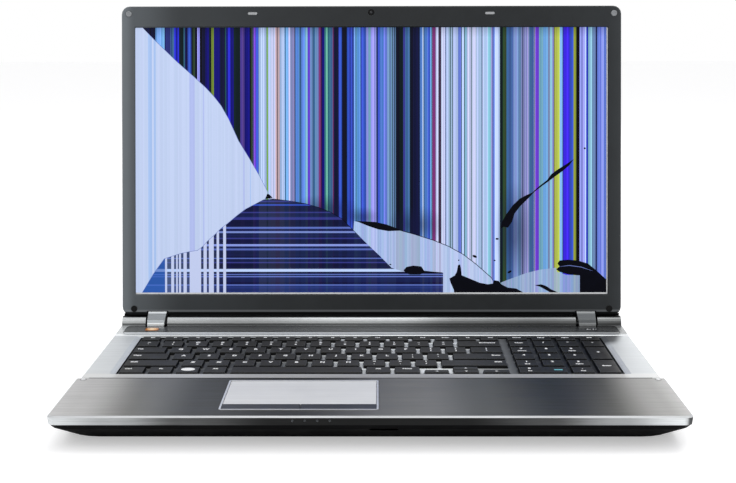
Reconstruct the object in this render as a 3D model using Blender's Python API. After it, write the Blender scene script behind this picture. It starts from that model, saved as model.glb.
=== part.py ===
# Broken 17.3 inch laptop, standing open, in metres with +Z up.
# Pieces are placed from the middle of the base's front edge on the table: x to the right,
# y to the rear and z up. The lid's pieces are placed in the lid's own frame: x to the right,
# y up the lid from the hinge axis, and z out of the screen.
import math

import bmesh
import bpy
from mathutils import Vector

for stale in list(bpy.data.objects):
    bpy.data.objects.remove(stale, do_unlink=True)

MM = 0.001
GAP = 0.3 * MM          # air between two pieces that touch or rest on each other
RUNNING = 0.06 * MM     # radial clearance of a pin in its barrel
STEPS = 4               # segments of a rounded corner
ROUND = 20              # segments of a full circle

# Base
BASE_WIDTH = 409.8 * MM
DECK_WIDTH = BASE_WIDTH - 5.9 * MM
BASE_DEPTH = 268.0 * MM
BASE_CORNER = 4.5 * MM
FOOT_HEIGHT = 2.0 * MM
PARTING = 18.0 * MM     # height of the line between the bottom case and the top shells
DECK_TOP = 24.0 * MM
SKIN = 1.8 * MM         # thickness of the top shells
WALL = 2.0 * MM         # thickness of the side walls
FLOOR = 2.0 * MM        # thickness of the bottom case's floor
SEAM = 93.5 * MM        # y of the joint between the palm rest and the keyboard deck
TUCK_DEPTH = 28.0 * MM  # how far the front of the base slopes in under the palm rest
TUCK_CORNER = 25.0 * MM

# Hinge and lid
AXIS_Y = 261.0 * MM
AXIS_Z = 24.5 * MM
BAR_RADIUS = 6.5 * MM
OPEN_ANGLE = math.radians(98.93)
LID_WIDTH = DECK_WIDTH + 1.1 * MM
LID_HEIGHT = 250.4 * MM
LID_THICKNESS = 8.0 * MM
LID_BOTTOM = 7.2 * MM   # from the hinge axis to the lid's lower edge
LID_FACE = -0.5 * MM    # z of the bezel's face in the lid's frame
LID_CORNER = 6.5 * MM
LID_WALL = 1.5 * MM
LID_TOP = LID_BOTTOM + LID_HEIGHT
LID_BACK = LID_FACE - LID_THICKNESS

COVER_BEVEL = 3.0 * MM  # round the edge of the lid's back

LEAN = OPEN_ANGLE - math.pi / 2
OVERALL_DEPTH = AXIS_Y + (LID_TOP - COVER_BEVEL) * math.sin(LEAN) - LID_BACK * math.cos(LEAN)


# Shapes

def fillet_outline(corners):
    """Points round a polygon with corners (x, y, radius, steps), each turned by an arc."""
    points = []
    for i, (x, y, radius, steps) in enumerate(corners):
        corner = Vector((x, y))
        if radius == 0:
            points.append(corner)
            continue
        before = (Vector(corners[i - 1][:2]) - corner).normalized()
        after = (Vector(corners[(i + 1) % len(corners)][:2]) - corner).normalized()
        half_angle = before.angle(after) / 2
        centre = corner + (before + after).normalized() * radius / math.sin(half_angle)
        first = corner + before * radius / math.tan(half_angle) - centre
        last = corner + after * radius / math.tan(half_angle) - centre
        start = math.atan2(first.y, first.x)
        sweep = math.atan2(first.cross(last), first.dot(last))
        for step in range(steps + 1):
            angle = start + sweep * step / steps
            points.append(centre + radius * Vector((math.cos(angle), math.sin(angle))))
    return points


def rectangle(left, right, front, rear, radius=0.0, steps=STEPS):
    corners = [(left, front), (right, front), (right, rear), (left, rear)]
    return fillet_outline([(x, y, radius, steps) for x, y in corners])


def circle(radius, centre=(0, 0), segments=ROUND):
    turns = [2 * math.pi * i / segments for i in range(segments)]
    return [(centre[0] + radius * math.cos(turn), centre[1] + radius * math.sin(turn)) for turn in turns]


def arc(centre, radius, start, end, steps):
    """Points on a circle, from one angle to another in degrees, both ends included."""
    turns = [math.radians(start + (end - start) * i / steps) for i in range(steps + 1)]
    return [(centre[0] + radius * math.cos(turn), centre[1] + radius * math.sin(turn)) for turn in turns]


def at_height(outline, z):
    return [(x, y, z) for x, y in outline]


def loft(rings, looped=False):
    """A closed body through rings of as many points: capped, or joined last to first."""
    shape = bmesh.new()
    rows = [[shape.verts.new(point) for point in ring] for ring in rings]
    pairs = list(zip(rows, rows[1:]))
    if looped:
        pairs.append((rows[-1], rows[0]))
    else:
        shape.faces.new(rows[0][::-1])
        shape.faces.new(rows[-1])
    for low, high in pairs:
        for i in range(len(low)):
            j = (i + 1) % len(low)
            shape.faces.new((low[i], low[j], high[j], high[i]))
    bmesh.ops.recalc_face_normals(shape, faces=shape.faces)
    return shape


def slab(outline, bottom, top):
    return loft([at_height(outline, bottom), at_height(outline, top)])


def block(left, right, front, rear, bottom, top, radius=0.0):
    return slab(rectangle(left, right, front, rear, radius), bottom, top)


def bar(profile, left, right):
    """A profile of (y, z) points drawn out along x."""
    return loft([[(x, y, z) for y, z in profile] for x in (left, right)])


def rod(radius, left, right, y, z, segments=ROUND):
    return bar(circle(radius, (y, z), segments), left, right)


def disc(radius, x, y, bottom, top, segments=ROUND):
    return slab(circle(radius, (x, y), segments), bottom, top)


def gather(shapes):
    """One mesh that holds several shapes."""
    whole = bmesh.new()
    for shape in shapes:
        scratch = bpy.data.meshes.new("scratch")
        shape.to_mesh(scratch)
        shape.free()
        whole.from_mesh(scratch)
        bpy.data.meshes.remove(scratch)
    return whole


# Objects

def empty(name, parent, location, lean=0.0):
    thing = bpy.data.objects.new(name, None)
    bpy.context.scene.collection.objects.link(thing)
    thing.parent = parent
    thing.location = location
    thing.rotation_euler.x = lean
    return thing


def material(name, colour, roughness, metallic=0.0):
    made = bpy.data.materials.new(name)
    made.use_nodes = True
    shader = made.node_tree.nodes["Principled BSDF"]
    shader.inputs["Base Color"].default_value = (*colour, 1)
    shader.inputs["Roughness"].default_value = roughness
    shader.inputs["Metallic"].default_value = metallic
    return made


def piece(name, shape, finish, parent, origin=(0, 0, 0)):
    """An object made of the shape, with its origin at a point in its parent's frame."""
    bmesh.ops.translate(shape, vec=-Vector(origin), verts=shape.verts)
    mesh = bpy.data.meshes.new(name)
    shape.to_mesh(mesh)
    shape.free()
    mesh.shade_smooth()
    mesh.set_sharp_from_angle(angle=math.radians(35))
    mesh.materials.append(finish)
    thing = bpy.data.objects.new(name, mesh)
    bpy.context.scene.collection.objects.link(thing)
    thing.parent = parent
    thing.location = origin
    return thing


def combine(target, label, shapes, operation):
    tool = piece(f"{target.name}_{label}", gather(shapes), target.data.materials[0],
                 target.parent, target.location)
    tool.hide_render = True
    tool.display_type = "WIRE"
    modifier = target.modifiers.new(label, "BOOLEAN")
    modifier.operation = operation
    modifier.object = tool


def cut(target, label, *shapes):
    """Takes the shapes, which don't touch each other, out of the target."""
    combine(target, label, shapes, "DIFFERENCE")


def add(target, label, *shapes):
    """Joins the shapes, which don't touch each other, to the target."""
    combine(target, label, shapes, "UNION")


def cable(name, route, radius, finish, parent):
    """A round cable through the points of its route, with filled ends."""
    curve = bpy.data.curves.new(name, "CURVE")
    curve.dimensions = "3D"
    curve.bevel_depth = radius
    curve.bevel_resolution = 2
    curve.use_fill_caps = True
    spline = curve.splines.new("POLY")
    points = smooth_route(route)
    spline.points.add(len(points) - 1)
    for point, place in zip(spline.points, points):
        point.co = (*place, 1)
    curve.materials.append(finish)
    thing = bpy.data.objects.new(name, curve)
    bpy.context.scene.collection.objects.link(thing)
    thing.parent = parent
    return thing


def smooth_route(route, steps=5):
    """A smooth curve through the route's points, leaving each along the line of its neighbours."""
    ends = [Vector(point) for point in route]
    ends = [2 * ends[0] - ends[1]] + ends + [2 * ends[-1] - ends[-2]]
    points = [ends[1]]
    for a, b, c, d in zip(ends, ends[1:], ends[2:], ends[3:]):
        for step in range(1, steps + 1):
            t = step / steps
            points.append(0.5 * ((2 * b) + (c - a) * t + (2 * a - 5 * b + 4 * c - d) * t * t
                                 + (3 * b - a - 3 * c + d) * t ** 3))
    return points


SIDES = (("left", -1), ("right", 1))


# Finishes
SILVER = material("brushed_silver", (0.60, 0.61, 0.62), 0.35, 0.9)
GUNMETAL = material("brushed_gunmetal", (0.33, 0.34, 0.35), 0.35, 0.9)
BLACK = material("black_plastic", (0.02, 0.02, 0.022), 0.5)
CHARCOAL = material("charcoal_plastic", (0.045, 0.048, 0.05), 0.45)
GLOSS = material("gloss_black", (0.03, 0.032, 0.035), 0.12)
KEYS = material("key_plastic", (0.035, 0.037, 0.04), 0.5)
PAD = material("touchpad_grey", (0.60, 0.61, 0.62), 0.45)
RUBBER = material("rubber", (0.03, 0.03, 0.03), 0.8)
GLASS = material("broken_display", (0.25, 0.30, 0.62), 0.25)
LAMP = material("lamp_orange", (0.95, 0.55, 0.15), 0.3)
BOARD = material("circuit_board", (0.03, 0.16, 0.09), 0.5)
STEEL = material("steel", (0.55, 0.56, 0.57), 0.35, 1.0)
COPPER = material("copper", (0.72, 0.40, 0.25), 0.3, 1.0)
ALUMINIUM = material("aluminium", (0.68, 0.69, 0.70), 0.4, 1.0)
LENS = material("lens", (0.01, 0.01, 0.02), 0.08)

# The two frames
laptop = empty("laptop", None, (0, -OVERALL_DEPTH / 2, 0))
lid = empty("lid_axis", laptop, (0, AXIS_Y, AXIS_Z), math.pi - OPEN_ANGLE)


# Bottom case: a tray that slopes in at the front, with an open bay for the battery at the rear
CASE_TOP = PARTING - GAP
CASE_KNEE = 14.0 * MM   # height where the tucked front turns up into the rim
KNEE_DEPTH = 5.0 * MM
REAR_CORNER = 6.0 * MM
BAY_HALF = 130.5 * MM   # battery bay
BAY_FRONT = 230.7 * MM


def case_outline(front, side, corner, inset):
    """Plan of the bottom case, drawn in by the inset; side is its slope under the deck's edge."""
    wide = BASE_WIDTH / 2 - side - inset
    narrow = DECK_WIDTH / 2 - side - inset
    rear = BASE_DEPTH - inset
    bay = BAY_HALF + inset
    bay_front = BAY_FRONT - inset
    half = [(wide, front + inset, corner, 6), (wide, SEAM - WALL, 0, 0), (narrow, SEAM + WALL, 0, 0),
            (narrow, rear, REAR_CORNER, 3), (bay, rear, 0, 0), (bay, bay_front, 0, 0)]
    return fillet_outline(half + [(-x, y, r, n) for x, y, r, n in reversed(half)])


EDGE_SLOPE = 1.0 * MM
FLOOR_SLOPE = 3.0 * MM
case_foot = case_outline(TUCK_DEPTH, FLOOR_SLOPE, TUCK_CORNER, 0)
case_knee = case_outline(KNEE_DEPTH, EDGE_SLOPE, BASE_CORNER + KNEE_DEPTH, 0)
case_rim = case_outline(EDGE_SLOPE, EDGE_SLOPE, BASE_CORNER, 0)
case_rim_inner = case_outline(EDGE_SLOPE, EDGE_SLOPE, BASE_CORNER, WALL)
case_knee_inner = case_outline(KNEE_DEPTH, EDGE_SLOPE, BASE_CORNER + KNEE_DEPTH, WALL)
case_floor = case_outline(TUCK_DEPTH, FLOOR_SLOPE, TUCK_CORNER, WALL)
FLOOR_TOP = FOOT_HEIGHT + FLOOR
bottom_case = piece("bottom_case", loft([
    at_height(case_foot, FOOT_HEIGHT), at_height(case_knee, CASE_KNEE), at_height(case_rim, CASE_TOP),
    at_height(case_rim_inner, CASE_TOP), at_height(case_knee_inner, CASE_KNEE),
    at_height(case_floor, FLOOR_TOP)]), BLACK, laptop)

# Hatch over the memory and the hard drive
HATCH = (-52 * MM, 62 * MM, 33 * MM, 143 * MM)
HATCH_CORNER = 4.0 * MM
BELOW = FOOT_HEIGHT - 1 * MM
ABOVE_FLOOR = FLOOR_TOP + 0.5 * MM
left, right, front, rear = HATCH
cut(bottom_case, "hatch_opening", block(left - GAP, right + GAP, front - GAP, rear + GAP,
                                        BELOW, ABOVE_FLOOR, HATCH_CORNER))
bottom_hatch = piece("bottom_hatch", block(left, right, front, rear, FOOT_HEIGHT, FLOOR_TOP, HATCH_CORNER),
                     BLACK, laptop)
SCREW_POCKET = 3.2 * MM
POCKET_DEPTH = 1.0 * MM
pocket_top = FOOT_HEIGHT + POCKET_DEPTH
cut(bottom_hatch, "screw_pockets", *[disc(SCREW_POCKET, x, rear - 8 * MM, BELOW, pocket_top, 12)
                                     for x in (left + 10 * MM, right - 10 * MM)])
case_screws = [(side * x, y) for side in (-1, 1) for x, y in
               ((185 * MM, 70 * MM), (186 * MM, 148 * MM), (186 * MM, 258 * MM), (100 * MM, 40 * MM))]
cut(bottom_case, "screw_pockets", *[disc(SCREW_POCKET, x, y, BELOW, pocket_top, 12) for x, y in case_screws])

# Card slot under the front edge
CARD_SLOT = (0 * MM, 18 * MM)
cut(bottom_case, "card_slot", block(*CARD_SLOT, 2 * MM, 12 * MM, 12.2 * MM, 14.6 * MM))

# Feet
FOOT_RADIUS = 8.0 * MM
FOOT_PLACES = {"front_left": (-165 * MM, 50 * MM), "front_right": (165 * MM, 50 * MM),
               "rear_left": (-172 * MM, 240 * MM), "rear_right": (172 * MM, 240 * MM)}
for place, (x, y) in FOOT_PLACES.items():
    rings = [at_height(circle(FOOT_RADIUS - narrow, (x, y)), z) for narrow, z in
             ((0.6 * MM, 0), (0, 0.5 * MM), (0, FOOT_HEIGHT - GAP))]
    piece(f"foot_{place}", loft(rings), RUBBER, laptop)


# Palm rest: a shallow cover with a skirt, its front and side edges chamfered
PALM_CHAMFER = 1.1 * MM
SKIRT_TUCK = 0.5 * MM
PALM_REAR = SEAM - GAP / 2


def palm_outline(inset):
    side = BASE_WIDTH / 2 - inset
    return fillet_outline([(-side, inset, BASE_CORNER, STEPS), (side, inset, BASE_CORNER, STEPS),
                           (side, PALM_REAR - min(inset, WALL), 0, 0),
                           (-side, PALM_REAR - min(inset, WALL), 0, 0)])


UNDER_SKIN = DECK_TOP - SKIN
palm_rest = piece("palm_rest", loft([
    at_height(palm_outline(WALL), UNDER_SKIN), at_height(palm_outline(WALL), PARTING),
    at_height(palm_outline(SKIRT_TUCK), PARTING), at_height(palm_outline(0), DECK_TOP - PALM_CHAMFER),
    at_height(palm_outline(PALM_CHAMFER), DECK_TOP)]), GUNMETAL, laptop)

# Two small stops at the seam's corners, which the closed lid rests on
STOP_X = BASE_WIDTH / 2 - 5.9 * MM
STOP_Y = 88.5 * MM
STOP_HEIGHT = 0.5 * MM
add(palm_rest, "lid_stops", *[disc(1.6 * MM, side * STOP_X, STOP_Y, DECK_TOP - 1 * MM,
                                   DECK_TOP + STOP_HEIGHT, 10) for side in (-1, 1)])

# Four status lights in the front edge
LIGHT_PLACES = [(-48.9 + 7.9 * i) * MM for i in range(4)]
LIGHT_Z = 21.1 * MM
cut(palm_rest, "status_lights", *[loft([[(px, y, pz) for px, pz in circle(0.8 * MM, (x, LIGHT_Z), 8)]
                                        for y in (-1 * MM, 1 * MM)]) for x in LIGHT_PLACES])

# Touchpad in its rim, with two buttons in front of it
PAD_LEFT = -97.5 * MM
PAD_RIGHT = 6.0 * MM
PAD_FRONT = 14.0 * MM
PAD_REAR = 86.6 * MM
PAD_SPLIT = 28.0 * MM   # y of the line between the pad and its buttons
BUTTON_SPLIT = -45.0 * MM
RIM = 1.2 * MM
RIM_PROUD = 0.3 * MM
cut(palm_rest, "touchpad_opening", block(PAD_LEFT, PAD_RIGHT, PAD_FRONT, PAD_REAR,
                                         UNDER_SKIN - 1 * MM, DECK_TOP + 1 * MM, 2 * MM))
rim_outer = rectangle(PAD_LEFT + GAP, PAD_RIGHT - GAP, PAD_FRONT + GAP, PAD_REAR - GAP, 1.8 * MM)
inner = (PAD_LEFT + GAP + RIM, PAD_RIGHT - GAP - RIM, PAD_FRONT + GAP + RIM, PAD_REAR - GAP - RIM)
rim_inner = rectangle(*inner, 0.8 * MM)
piece("touchpad_bezel", loft([
    at_height(rim_outer, UNDER_SKIN), at_height(rim_outer, DECK_TOP + RIM_PROUD),
    at_height(rim_inner, DECK_TOP + RIM_PROUD), at_height(rim_inner, UNDER_SKIN)], looped=True),
    SILVER, laptop)
left, right, front, rear = inner
PAD_BOTTOM = UNDER_SKIN - 0.6 * MM
piece("touchpad", block(left + GAP, right - GAP, PAD_SPLIT + GAP / 2, rear - GAP, PAD_BOTTOM,
                        DECK_TOP - 0.2 * MM, 0.6 * MM), PAD, laptop)
button_edges = {"left": (left + GAP, BUTTON_SPLIT - GAP), "right": (BUTTON_SPLIT + GAP, right - GAP)}
for side, (start, end) in button_edges.items():
    middle = ((start + end) / 2, (front + PAD_SPLIT) / 2, DECK_TOP)
    piece(f"touchpad_button_{side}", block(start, end, front + GAP, PAD_SPLIT - GAP / 2, PAD_BOTTOM,
                                           DECK_TOP, 0.6 * MM), PAD, laptop, middle)


# Keyboard deck with a shallow well, whose sides slope down to the keys
KEY_PITCH = 18.8 * MM
ROW_PITCH = 19.6 * MM
KEY_GAP = 3.0 * MM      # between two caps in a row
ROW_GAP = 3.6 * MM
KEYS_LEFT = -178.2 * MM
KEYS_FRONT = 107.2 * MM
MAIN_UNITS = 14.9       # width of the main block, in key pitches
PAD_UNITS = 4
BLOCK_GAP = 3.3 * MM
TOP_ROW_DEPTH = 10.6 * MM
PAD_START = KEYS_LEFT + MAIN_UNITS * KEY_PITCH + BLOCK_GAP
KEYS_RIGHT = PAD_START + PAD_UNITS * KEY_PITCH - KEY_GAP
KEYS_REAR = KEYS_FRONT + 5 * ROW_PITCH + TOP_ROW_DEPTH
WELL_MARGIN = 1.9 * MM
KEY_TOP = DECK_TOP + 0.3 * MM
PLATE_TOP = DECK_TOP - 2.0 * MM
PLATE_THICKNESS = 1.8 * MM

LIP = 220.5 * MM        # y where the hinge cover starts
DECK_REAR = LIP - GAP / 2
DECK_CHAMFER = 0.8 * MM


def deck_outline(inset, end_inset):
    side = DECK_WIDTH / 2 - inset
    return rectangle(-side, side, SEAM + GAP / 2 + end_inset, DECK_REAR - end_inset)


keyboard_deck = piece("keyboard_deck", loft([
    at_height(deck_outline(WALL, WALL), UNDER_SKIN), at_height(deck_outline(WALL, WALL), PARTING),
    at_height(deck_outline(SKIRT_TUCK, 0), PARTING), at_height(deck_outline(0, 0), DECK_TOP - DECK_CHAMFER),
    at_height(deck_outline(DECK_CHAMFER, 0), DECK_TOP)]), SILVER, laptop)
well = [KEYS_LEFT - WELL_MARGIN, KEYS_RIGHT + WELL_MARGIN, KEYS_FRONT - WELL_MARGIN, KEYS_REAR + WELL_MARGIN]
WELL_SLOPE_SIDE = 4.0 * MM
WELL_SLOPE_END = 1.6 * MM
WELL_EDGE = 1.0 * MM    # how far down the sloped part of the well's side reaches
well_low = rectangle(*well, 1.5 * MM)
well_high = rectangle(well[0] - WELL_SLOPE_SIDE, well[1] + WELL_SLOPE_SIDE,
                      well[2] - WELL_SLOPE_END, well[3] + WELL_SLOPE_END, 1.5 * MM)
cut(keyboard_deck, "well", loft([
    at_height(well_low, UNDER_SKIN - 1 * MM), at_height(well_low, DECK_TOP - WELL_EDGE),
    at_height(well_high, DECK_TOP), at_height(well_high, DECK_TOP + 1 * MM)]))

# Keys: each row is a list of cap widths in key pitches, from the left; 0 stands for the space bar
ROWS = [
    [1.09, 1.05, 1.02, 1.03, 0, 1.08, 1.12],
    [2.2] + [1] * 10 + [2.7],
    [1.7] + [1] * 11 + [2.2],
    [1.45] + [1] * 12 + [1.45],
    [1] * 13 + [1.9],
    [MAIN_UNITS / 16] * 16,
]
SPACE_UNITS = 5.12
ARROW_UNITS = [1.10, 1.12, 1.17]
SPLIT_GAP = 0.8 * MM    # between the two half-height arrow keys
CAP_TAPER = 0.7 * MM
CAP_SINK = 0.2 * MM     # how far a fixed cap reaches into the plate


def cap(left, right, front, rear, bottom=PLATE_TOP - CAP_SINK):
    rings = [(0, bottom), (0.1 * MM, PLATE_TOP + 0.8 * MM), (CAP_TAPER, KEY_TOP)]
    return loft([at_height(rectangle(left + inset, right - inset, front + inset * 0.6, rear - inset), z)
                 for inset, z in rings])


def row_span(row):
    front = KEYS_FRONT + row * ROW_PITCH
    return front, front + (TOP_ROW_DEPTH if row == 5 else ROW_PITCH - ROW_GAP)


caps = []
space_edges = None
for row, widths in enumerate(ROWS):
    x = KEYS_LEFT
    front, rear = row_span(row)
    for width in widths:
        step = (width or SPACE_UNITS) * KEY_PITCH
        if width:
            caps.append(cap(x, x + step - KEY_GAP, front, rear))
        else:
            space_edges = (x, x + step - KEY_GAP)
        x += step
    if row == 0:
        middle = (front + rear) / 2
        for i, width in enumerate(ARROW_UNITS):
            end = x + width * KEY_PITCH - KEY_GAP
            caps.append(cap(x, end, front, middle - SPLIT_GAP / 2))
            if i == 1:
                caps.append(cap(x, end, middle + SPLIT_GAP / 2, rear))
            x += width * KEY_PITCH

# Number pad: (column, row, columns wide, rows deep)
PAD_KEYS = [(0, 0, 2, 1), (2, 0, 1, 1), (3, 0, 1, 2), (3, 2, 1, 2)]
PAD_KEYS += [(column, row, 1, 1) for row in (1, 2, 3) for column in range(3)]
PAD_KEYS += [(column, row, 1, 1) for row in (4, 5) for column in range(4)]
for column, row, wide, deep in PAD_KEYS:
    x = PAD_START + column * KEY_PITCH
    caps.append(cap(x, x + wide * KEY_PITCH - KEY_GAP, row_span(row)[0], row_span(row + deep - 1)[1]))

keyboard = piece("keyboard", block(well[0] + GAP, well[1] - GAP, well[2] + GAP, well[3] - GAP,
                                   PLATE_TOP - PLATE_THICKNESS, PLATE_TOP, 1.2 * MM), KEYS, laptop)
add(keyboard, "caps", *caps)
SPACE_TRAVEL = 1.4 * MM
SPACE_BOTTOM = PLATE_TOP + 0.5 * MM
front, rear = row_span(0)
cut(keyboard, "space_pocket", block(space_edges[0] - GAP, space_edges[1] + GAP, front - GAP, rear + GAP,
                                    SPACE_BOTTOM - SPACE_TRAVEL - 0.2 * MM, PLATE_TOP + 0.1 * MM))
space_middle = (sum(space_edges) / 2, (front + rear) / 2, SPACE_BOTTOM)
piece("space_bar", cap(*space_edges, front, rear, SPACE_BOTTOM), KEYS, laptop, space_middle)


# Hinge cover: a lip, a flat strip and a raised bar round the hinges, open underneath
STRIP_TOP = DECK_TOP + 0.1 * MM
COVER_SKIN = 1.6 * MM
COVER_REAR = AXIS_Y + BAR_RADIUS
LIP_BEVEL = 1.2 * MM
axis = (AXIS_Y, AXIS_Z)
cover_front = LIP + GAP / 2
cover_outer = [(cover_front, PARTING), (cover_front, STRIP_TOP - LIP_BEVEL), (cover_front + LIP_BEVEL, STRIP_TOP)]
cover_outer += arc(axis, BAR_RADIUS, 180, 0, 12) + [(COVER_REAR, PARTING)]
inner_radius = BAR_RADIUS - COVER_SKIN
cover_inner = [(cover_front + COVER_SKIN, PARTING - 1 * MM), (cover_front + COVER_SKIN, UNDER_SKIN)]
cover_inner += [(AXIS_Y - inner_radius, UNDER_SKIN)] + arc(axis, inner_radius, 180, 0, 12)
cover_inner += [(AXIS_Y + inner_radius, PARTING - 1 * MM)]
cover_side = DECK_WIDTH / 2 - 0.4 * MM
hinge_cover = piece("hinge_cover", bar(cover_outer, -cover_side, cover_side), SILVER, laptop)
cut(hinge_cover, "hollow", bar(cover_inner, COVER_SKIN - cover_side, cover_side - COVER_SKIN))

# Notches for the lid's hinge caps
CAP_OUTER = LID_WIDTH / 2 - 21.3 * MM
CAP_INNER = CAP_OUTER - 14.8 * MM
CAP_NARROWING = 2.0 * MM
CAP_RADIUS = BAR_RADIUS + 0.1 * MM
NOTCH_CLEARANCE = 1.4 * MM
notch = (CAP_INNER - NOTCH_CLEARANCE, CAP_OUTER + NOTCH_CLEARANCE)
CAP_TOP = LID_BOTTOM + 2.6 * MM     # how far up the lid the cap reaches
NOTCH_FRONT = AXIS_Y - CAP_TOP - 0.4 * MM

def notch_block(side):
    ends = sorted(side * x for x in notch)
    return block(*ends, NOTCH_FRONT, COVER_REAR + 1 * MM, PARTING - 1 * MM, AXIS_Z + BAR_RADIUS + 1 * MM)


cut(hinge_cover, "cap_notches", notch_block(-1), notch_block(1))

# Glossy inlay in the strip, with the power button and a window over the status lights
INLAY_END = 196.3 * MM
INLAY_FRONT = 227.0 * MM
INLAY_REAR = AXIS_Y - BAR_RADIUS - 1.0 * MM
INLAY_DEPTH = 0.7 * MM
INLAY_CORNER = 5.0 * MM
inlay_edges = (-INLAY_END, INLAY_END, INLAY_FRONT, INLAY_REAR)
cut(hinge_cover, "inlay_pocket", block(-INLAY_END - GAP, INLAY_END + GAP, INLAY_FRONT - GAP,
                                       INLAY_REAR + GAP / 2, STRIP_TOP - INLAY_DEPTH - GAP,
                                       STRIP_TOP + 1 * MM, INLAY_CORNER))
strip_inlay = piece("strip_inlay", block(*inlay_edges, STRIP_TOP - INLAY_DEPTH, STRIP_TOP + 0.1 * MM,
                                         INLAY_CORNER), GLOSS, laptop)
POWER = (-180.6 * MM, -170.2 * MM, 237.2 * MM, 247.0 * MM)
POWER_TOP = STRIP_TOP + 0.25 * MM
POWER_BOTTOM = STRIP_TOP - 3.0 * MM
WINDOW = (170.5 * MM, 181.4 * MM, 239.8 * MM, 244.2 * MM)


def grown(edges, margin):
    left, right, front, rear = edges
    return left - margin, right + margin, front - margin, rear + margin


cut(strip_inlay, "cap_notches", notch_block(-1), notch_block(1))
power_hole = (*grown(POWER, GAP), UNDER_SKIN - 1 * MM, STRIP_TOP + 1 * MM, 2 * MM)
cut(hinge_cover, "power_hole", block(*power_hole))
cut(strip_inlay, "holes", block(*power_hole),
    block(*grown(WINDOW, GAP), STRIP_TOP - 2 * MM, STRIP_TOP + 1 * MM, 1 * MM))
power_middle = ((POWER[0] + POWER[1]) / 2, (POWER[2] + POWER[3]) / 2, POWER_TOP)
piece("power_button", block(*POWER, POWER_BOTTOM, POWER_TOP, 1.8 * MM), LAMP, laptop, power_middle)
piece("indicator_window", block(*WINDOW, STRIP_TOP - INLAY_DEPTH, STRIP_TOP + 0.1 * MM, 0.8 * MM),
      LENS, laptop)


# Hinges: a barrel on a bracket in the base, and a pin with an arm in the lid
BARREL = (CAP_INNER - 17.4 * MM, CAP_INNER - 2.3 * MM)
BARREL_RADIUS = 4.2 * MM
PIN_RADIUS = 2.0 * MM
BRACKET_FOOT = (CAP_INNER - 17.9 * MM, BARREL[1], 233 * MM, 260.6 * MM)
BRACKET_SHEET = 2.0 * MM
for name, side in SIDES:
    ends = sorted(side * x for x in BARREL)
    foot_ends = sorted(side * x for x in BRACKET_FOOT[:2])
    bracket = piece(f"hinge_bracket_{name}", rod(BARREL_RADIUS, *ends, *axis), STEEL, laptop)
    base_z = FLOOR_TOP + GAP
    add(bracket, "web", block(*[x + side * 0.8 * MM for x in foot_ends], AXIS_Y - 3.6 * MM,
                              AXIS_Y - 3.6 * MM + BRACKET_SHEET, base_z + 0.5 * MM, AXIS_Z - 1 * MM))
    add(bracket, "foot", block(*foot_ends, *BRACKET_FOOT[2:], base_z, base_z + BRACKET_SHEET))
    cut(bracket, "bore", rod(PIN_RADIUS + RUNNING, ends[0] - 2 * MM, ends[1] + 2 * MM, *axis, 24))


# Circuit board, with a notch for the fan
BOARD_BOTTOM = 9.0 * MM
BOARD_TOP = BOARD_BOTTOM + 1.2 * MM
PORT_FACE = DECK_WIDTH / 2 - 2.2 * MM   # |x| of the sockets' mouths
PORT_LENGTH = 14.0 * MM
BOARD_LEFT = -(PORT_FACE - PORT_LENGTH - GAP)
FAN = (-184 * MM, -126 * MM, 168 * MM, 225 * MM)
board_outline = [(BOARD_LEFT, 64 * MM), (-125 * MM, 64 * MM), (-125 * MM, 108 * MM), (20 * MM, 108 * MM),
                 (20 * MM, 226 * MM), (FAN[1] + 2 * MM, 226 * MM), (FAN[1] + 2 * MM, FAN[2] - 2 * MM),
                 (BOARD_LEFT, FAN[2] - 2 * MM)]
motherboard = piece("motherboard", slab(board_outline, BOARD_BOTTOM, BOARD_TOP), BOARD, laptop)
POST_RADIUS = 2.6 * MM
board_posts = [(-165 * MM, 75 * MM), (-140 * MM, 150 * MM), (-75 * MM, 118 * MM), (12 * MM, 216 * MM),
               (-110 * MM, 216 * MM)]
add(bottom_case, "board_posts", *[disc(POST_RADIUS, x, y, FOOT_HEIGHT + 1 * MM, BOARD_BOTTOM - GAP, 10)
                                  for x, y in board_posts])
CHIP_X = -70 * MM
CHIP_Y = 185 * MM
CHIP_HALF = 17.5 * MM
CHIP_TOP = BOARD_TOP + GAP + 2.2 * MM
piece("processor", block(CHIP_X - CHIP_HALF, CHIP_X + CHIP_HALF, CHIP_Y - CHIP_HALF, CHIP_Y + CHIP_HALF,
                         BOARD_TOP + GAP, CHIP_TOP), BLACK, laptop)
piece("wireless_card", block(-118 * MM, -88 * MM, 112 * MM, 138 * MM, BOARD_TOP + GAP,
                             BOARD_TOP + GAP + 1.4 * MM), BOARD, laptop)
piece("memory_module", block(-45 * MM, 22.6 * MM, 110.5 * MM, 140 * MM, FLOOR_TOP + 1 * MM,
                             BOARD_BOTTOM - GAP), BOARD, laptop)
HARD_DRIVE = (-45 * MM, 55 * MM, 34.5 * MM, 104.4 * MM)
piece("hard_drive", block(*HARD_DRIVE, FLOOR_TOP + GAP, FLOOR_TOP + GAP + 9.5 * MM, 2 * MM), ALUMINIUM, laptop)

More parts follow.
